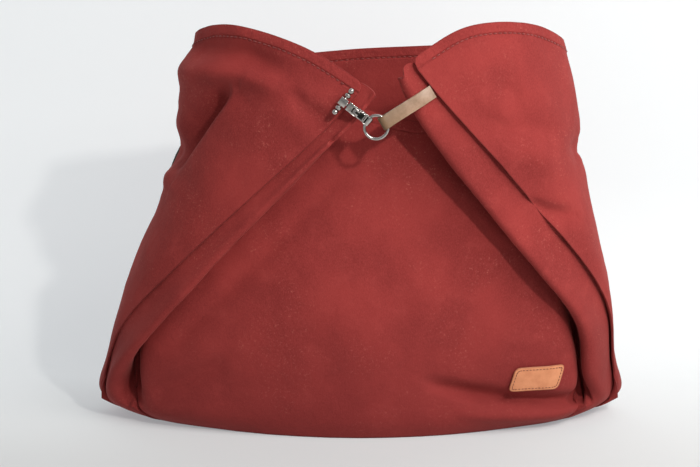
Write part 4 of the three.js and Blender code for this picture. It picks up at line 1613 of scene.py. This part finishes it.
def leather_walls(red: Material) -> list[Wall]:
    """The bag's leather walls.

    Args:
        red: their material.

    Returns:
        The walls in the order in which they are built.
    """
    ear_folds = (
        # The pocket under the left ear, the ridge beside it and the bulge at the outline.
        Fold(
            ((-0.150, 0.220), (-0.139, 0.240), (-0.128, 0.258), (-0.117, 0.274), (-0.108, 0.286)),
            0.0140, 0.008, 0.0045,
        ),
        Fold(
            ((-0.146, 0.214), (-0.133, 0.234), (-0.121, 0.254), (-0.109, 0.272), (-0.099, 0.287)),
            -0.0050, 0.005, 0.018,
        ),
        Fold(((-0.161, 0.198), (-0.156, 0.225), (-0.152, 0.268)), -0.0085, 0.014, 0.012, 0.07),
        # The lit swelling over the pocket and the hollow under the hem.
        Fold(((-0.150, 0.296), (-0.125, 0.302), (-0.095, 0.301), (-0.066, 0.294)), -0.0065, 0.009, 0.008),
        Fold(((-0.145, 0.318), (-0.118, 0.321), (-0.090, 0.318), (-0.062, 0.308)), 0.0055, 0.009, 0.010),
        Fold(((-0.126, 0.336), (-0.105, 0.340), (-0.088, 0.336)), -0.0020, 0.006, 0.008),
        Fold(((-0.056, 0.290), (-0.040, 0.277), (-0.024, 0.268)), 0.0028, 0.006, 0.009),
        Fold(((-0.060, 0.270), (-0.044, 0.260), (-0.030, 0.255)), -0.0018, 0.008, 0.008),
        # The right corner's creases and the notch at its outline.
        Fold(((0.136, 0.202), (0.150, 0.194), (0.174, 0.187)), 0.0042, 0.004, 0.010),
        Fold(((0.178, 0.244), (0.183, 0.236), (0.188, 0.226)), 0.0055, 0.008, 0.008, 0.05),
        Fold(((0.090, 0.275), (0.112, 0.262), (0.140, 0.262), (0.160, 0.254)), 0.0024, 0.007, 0.010),
        Fold(((0.108, 0.236), (0.132, 0.242), (0.160, 0.226)), -0.0026, 0.010, 0.012),
        Fold(((0.105, 0.300), (0.122, 0.288), (0.131, 0.268)), 0.0018, 0.006, 0.008),
    )
    front_folds = (
        # The valley and the ridge at the lower right, and the creases at the lower left.
        Fold(
            ((0.060, 0.046), (0.095, 0.0360), (0.133, 0.0285), (0.166, 0.0235), (0.192, 0.0215)),
            0.0100, 0.007, 0.0045,
        ),
        Fold(((0.085, 0.0205), (0.130, 0.0160), (0.175, 0.0130)), -0.0040, 0.006, 0.006),
        Fold(((-0.178, 0.030), (-0.159, 0.042), (-0.133, 0.054), (-0.110, 0.066)), 0.0036, 0.008, 0.012),
        Fold(((-0.120, 0.034), (-0.085, 0.042), (-0.050, 0.040)), 0.0016, 0.010, 0.012),
        Fold(((-0.060, 0.150), (-0.030, 0.110), (0.010, 0.080)), -0.0014, 0.030, 0.030),
        Fold(((0.020, 0.120), (0.060, 0.085), (0.100, 0.072)), 0.0012, 0.018, 0.018),
        # The front swells under the right corner and dips beside the left band.
        Fold(((0.030, 0.250), (0.085, 0.195), (0.135, 0.140)), -0.0080, 0.020, 0.030),
        Fold(
            ((-0.160, 0.072), (-0.120, 0.112), (-0.080, 0.153), (-0.038, 0.196), (-0.010, 0.225)),
            0.0030, 0.007, 0.009,
        ),
    )
    return [
        Wall("front_panel", red, front_folds, levels=3, hemmed=True),
        Wall(
            "back_panel", red, ear_folds, fine_front=0.02, hemmed=True, soft_above=0.25,
            soft_reach=0.009, soft_rounds=24,
        ),
        Wall(
            "left_gusset", red, levels=3, split=73, soft_above=0.265, soft_edge=True, soft_reach=0.008,
            relaxing=16,
        ),
        Wall("right_gusset", red, levels=3, soft_above=0.275, soft_edge=True, soft_reach=0.008),
    ]


@dataclass(frozen=True)
class SquareLight:
    """A square studio light."""

    name: str
    place: tuple
    size: float
    power: float
    tint: tuple

    def build(self, target: Vector) -> None:
        """Adds the light.

        Args:
            target: the point that it looks at.
        """
        light = bpy.data.lights.new(self.name, "AREA")
        light.size = self.size
        light.energy = self.power
        light.color = self.tint
        obj = bpy.data.objects.new(self.name, light)
        obj.location = self.place
        obj.rotation_euler = (target - Vector(self.place)).to_track_quat("-Z", "Y").to_euler()
        bpy.context.scene.collection.objects.link(obj)


@dataclass
class Studio:
    """The seamless paper, the lights and the camera."""

    key: SquareLight = SquareLight("key", (0.46, -0.95, 0.86), 0.06, 6.5, (1.0, 0.985, 0.965))
    window: SquareLight = SquareLight("window", (0.95, -0.75, 1.15), 1.0, 16.0, (1.0, 0.99, 0.98))
    light_target: tuple = (0.0, 0.0, 0.20)
    air: tuple = (0.96, 0.98, 1.0, 1.0)
    air_strength: float = 0.38
    half_width: float = 2.2
    wall_y: float = 0.26
    curve: float = 0.16
    near: float = -1.6
    top: float = 1.9
    floor_half: float = 6.0
    floor_drop: float = 0.0005
    lens: float = 84.2
    sensor: float = 36.0
    camera_place: tuple = (-0.0086, -1.3694, 0.4491)
    camera_tilt: float = 12.0

    def build(self) -> None:
        """Builds the studio."""
        self.paper()
        self.lights()
        self.camera()

    def paper(self) -> None:
        """Builds the paper that sweeps from the floor up behind the bag, and a wide floor."""
        bm = bmesh.new()
        start = bmesh.ops.create_vert(bm, co=(-self.half_width, self.near, 0.0))["vert"][0]
        bend = bmesh.ops.extrude_vert_indiv(bm, verts=[start])["verts"][0]
        bend.co = (-self.half_width, self.wall_y - self.curve, 0.0)
        centre = (-self.half_width, self.wall_y - self.curve, self.curve)
        swept = bmesh.ops.spin(
            bm, geom=[bend], cent=centre, axis=(1, 0, 0), angle=math.radians(90), steps=24,
        )
        last = next(g for g in swept["geom_last"] if isinstance(g, BMVert))
        top = bmesh.ops.extrude_vert_indiv(bm, verts=[last])["verts"][0]
        top.co = (-self.half_width, self.wall_y, self.top)
        strip = bmesh.ops.extrude_edge_only(bm, edges=bm.edges[:])["geom"]
        moved = [g for g in strip if isinstance(g, BMVert)]
        bmesh.ops.translate(bm, verts=moved, vec=(2 * self.half_width, 0, 0))
        bmesh.ops.remove_doubles(bm, verts=bm.verts, dist=1e-6)
        bmesh.ops.recalc_face_normals(bm, faces=bm.faces)
        if sum(f.normal.z * f.calc_area() for f in bm.faces) < 0:
            bmesh.ops.reverse_faces(bm, faces=bm.faces)
        new_object("studio_paper", bm, Paper(one_sided=True).build())
        floor = bmesh.new()
        bmesh.ops.create_grid(floor, x_segments=1, y_segments=1, size=self.floor_half)
        bmesh.ops.translate(floor, verts=floor.verts, vec=(0, 0, -self.floor_drop))
        new_object("studio_floor", floor, Paper("studio_floor").build())

    def lights(self) -> None:
        """Adds a key light from the upper right, a broad fill and the room's pale air."""
        for light in (self.key, self.window):
            light.build(Vector(self.light_target))
        world = bpy.data.worlds.new("studio_air")
        world.use_nodes = True
        background = world.node_tree.nodes["Background"]
        background.inputs["Color"].default_value = self.air
        background.inputs["Strength"].default_value = self.air_strength
        bpy.context.scene.world = world

    def camera(self) -> None:
        """Adds the camera at the photograph's angle."""
        data = bpy.data.cameras.new("camera")
        data.lens = self.lens
        data.sensor_width = self.sensor
        data.sensor_fit = "HORIZONTAL"
        obj = bpy.data.objects.new("camera", data)
        obj.location = self.camera_place
        obj.rotation_euler = (math.radians(90 - self.camera_tilt), 0, 0)
        bpy.context.scene.collection.objects.link(obj)
        bpy.context.scene.camera = obj
        bpy.context.scene.view_settings.view_transform = "Standard"


if __name__ == "__main__":
    main()
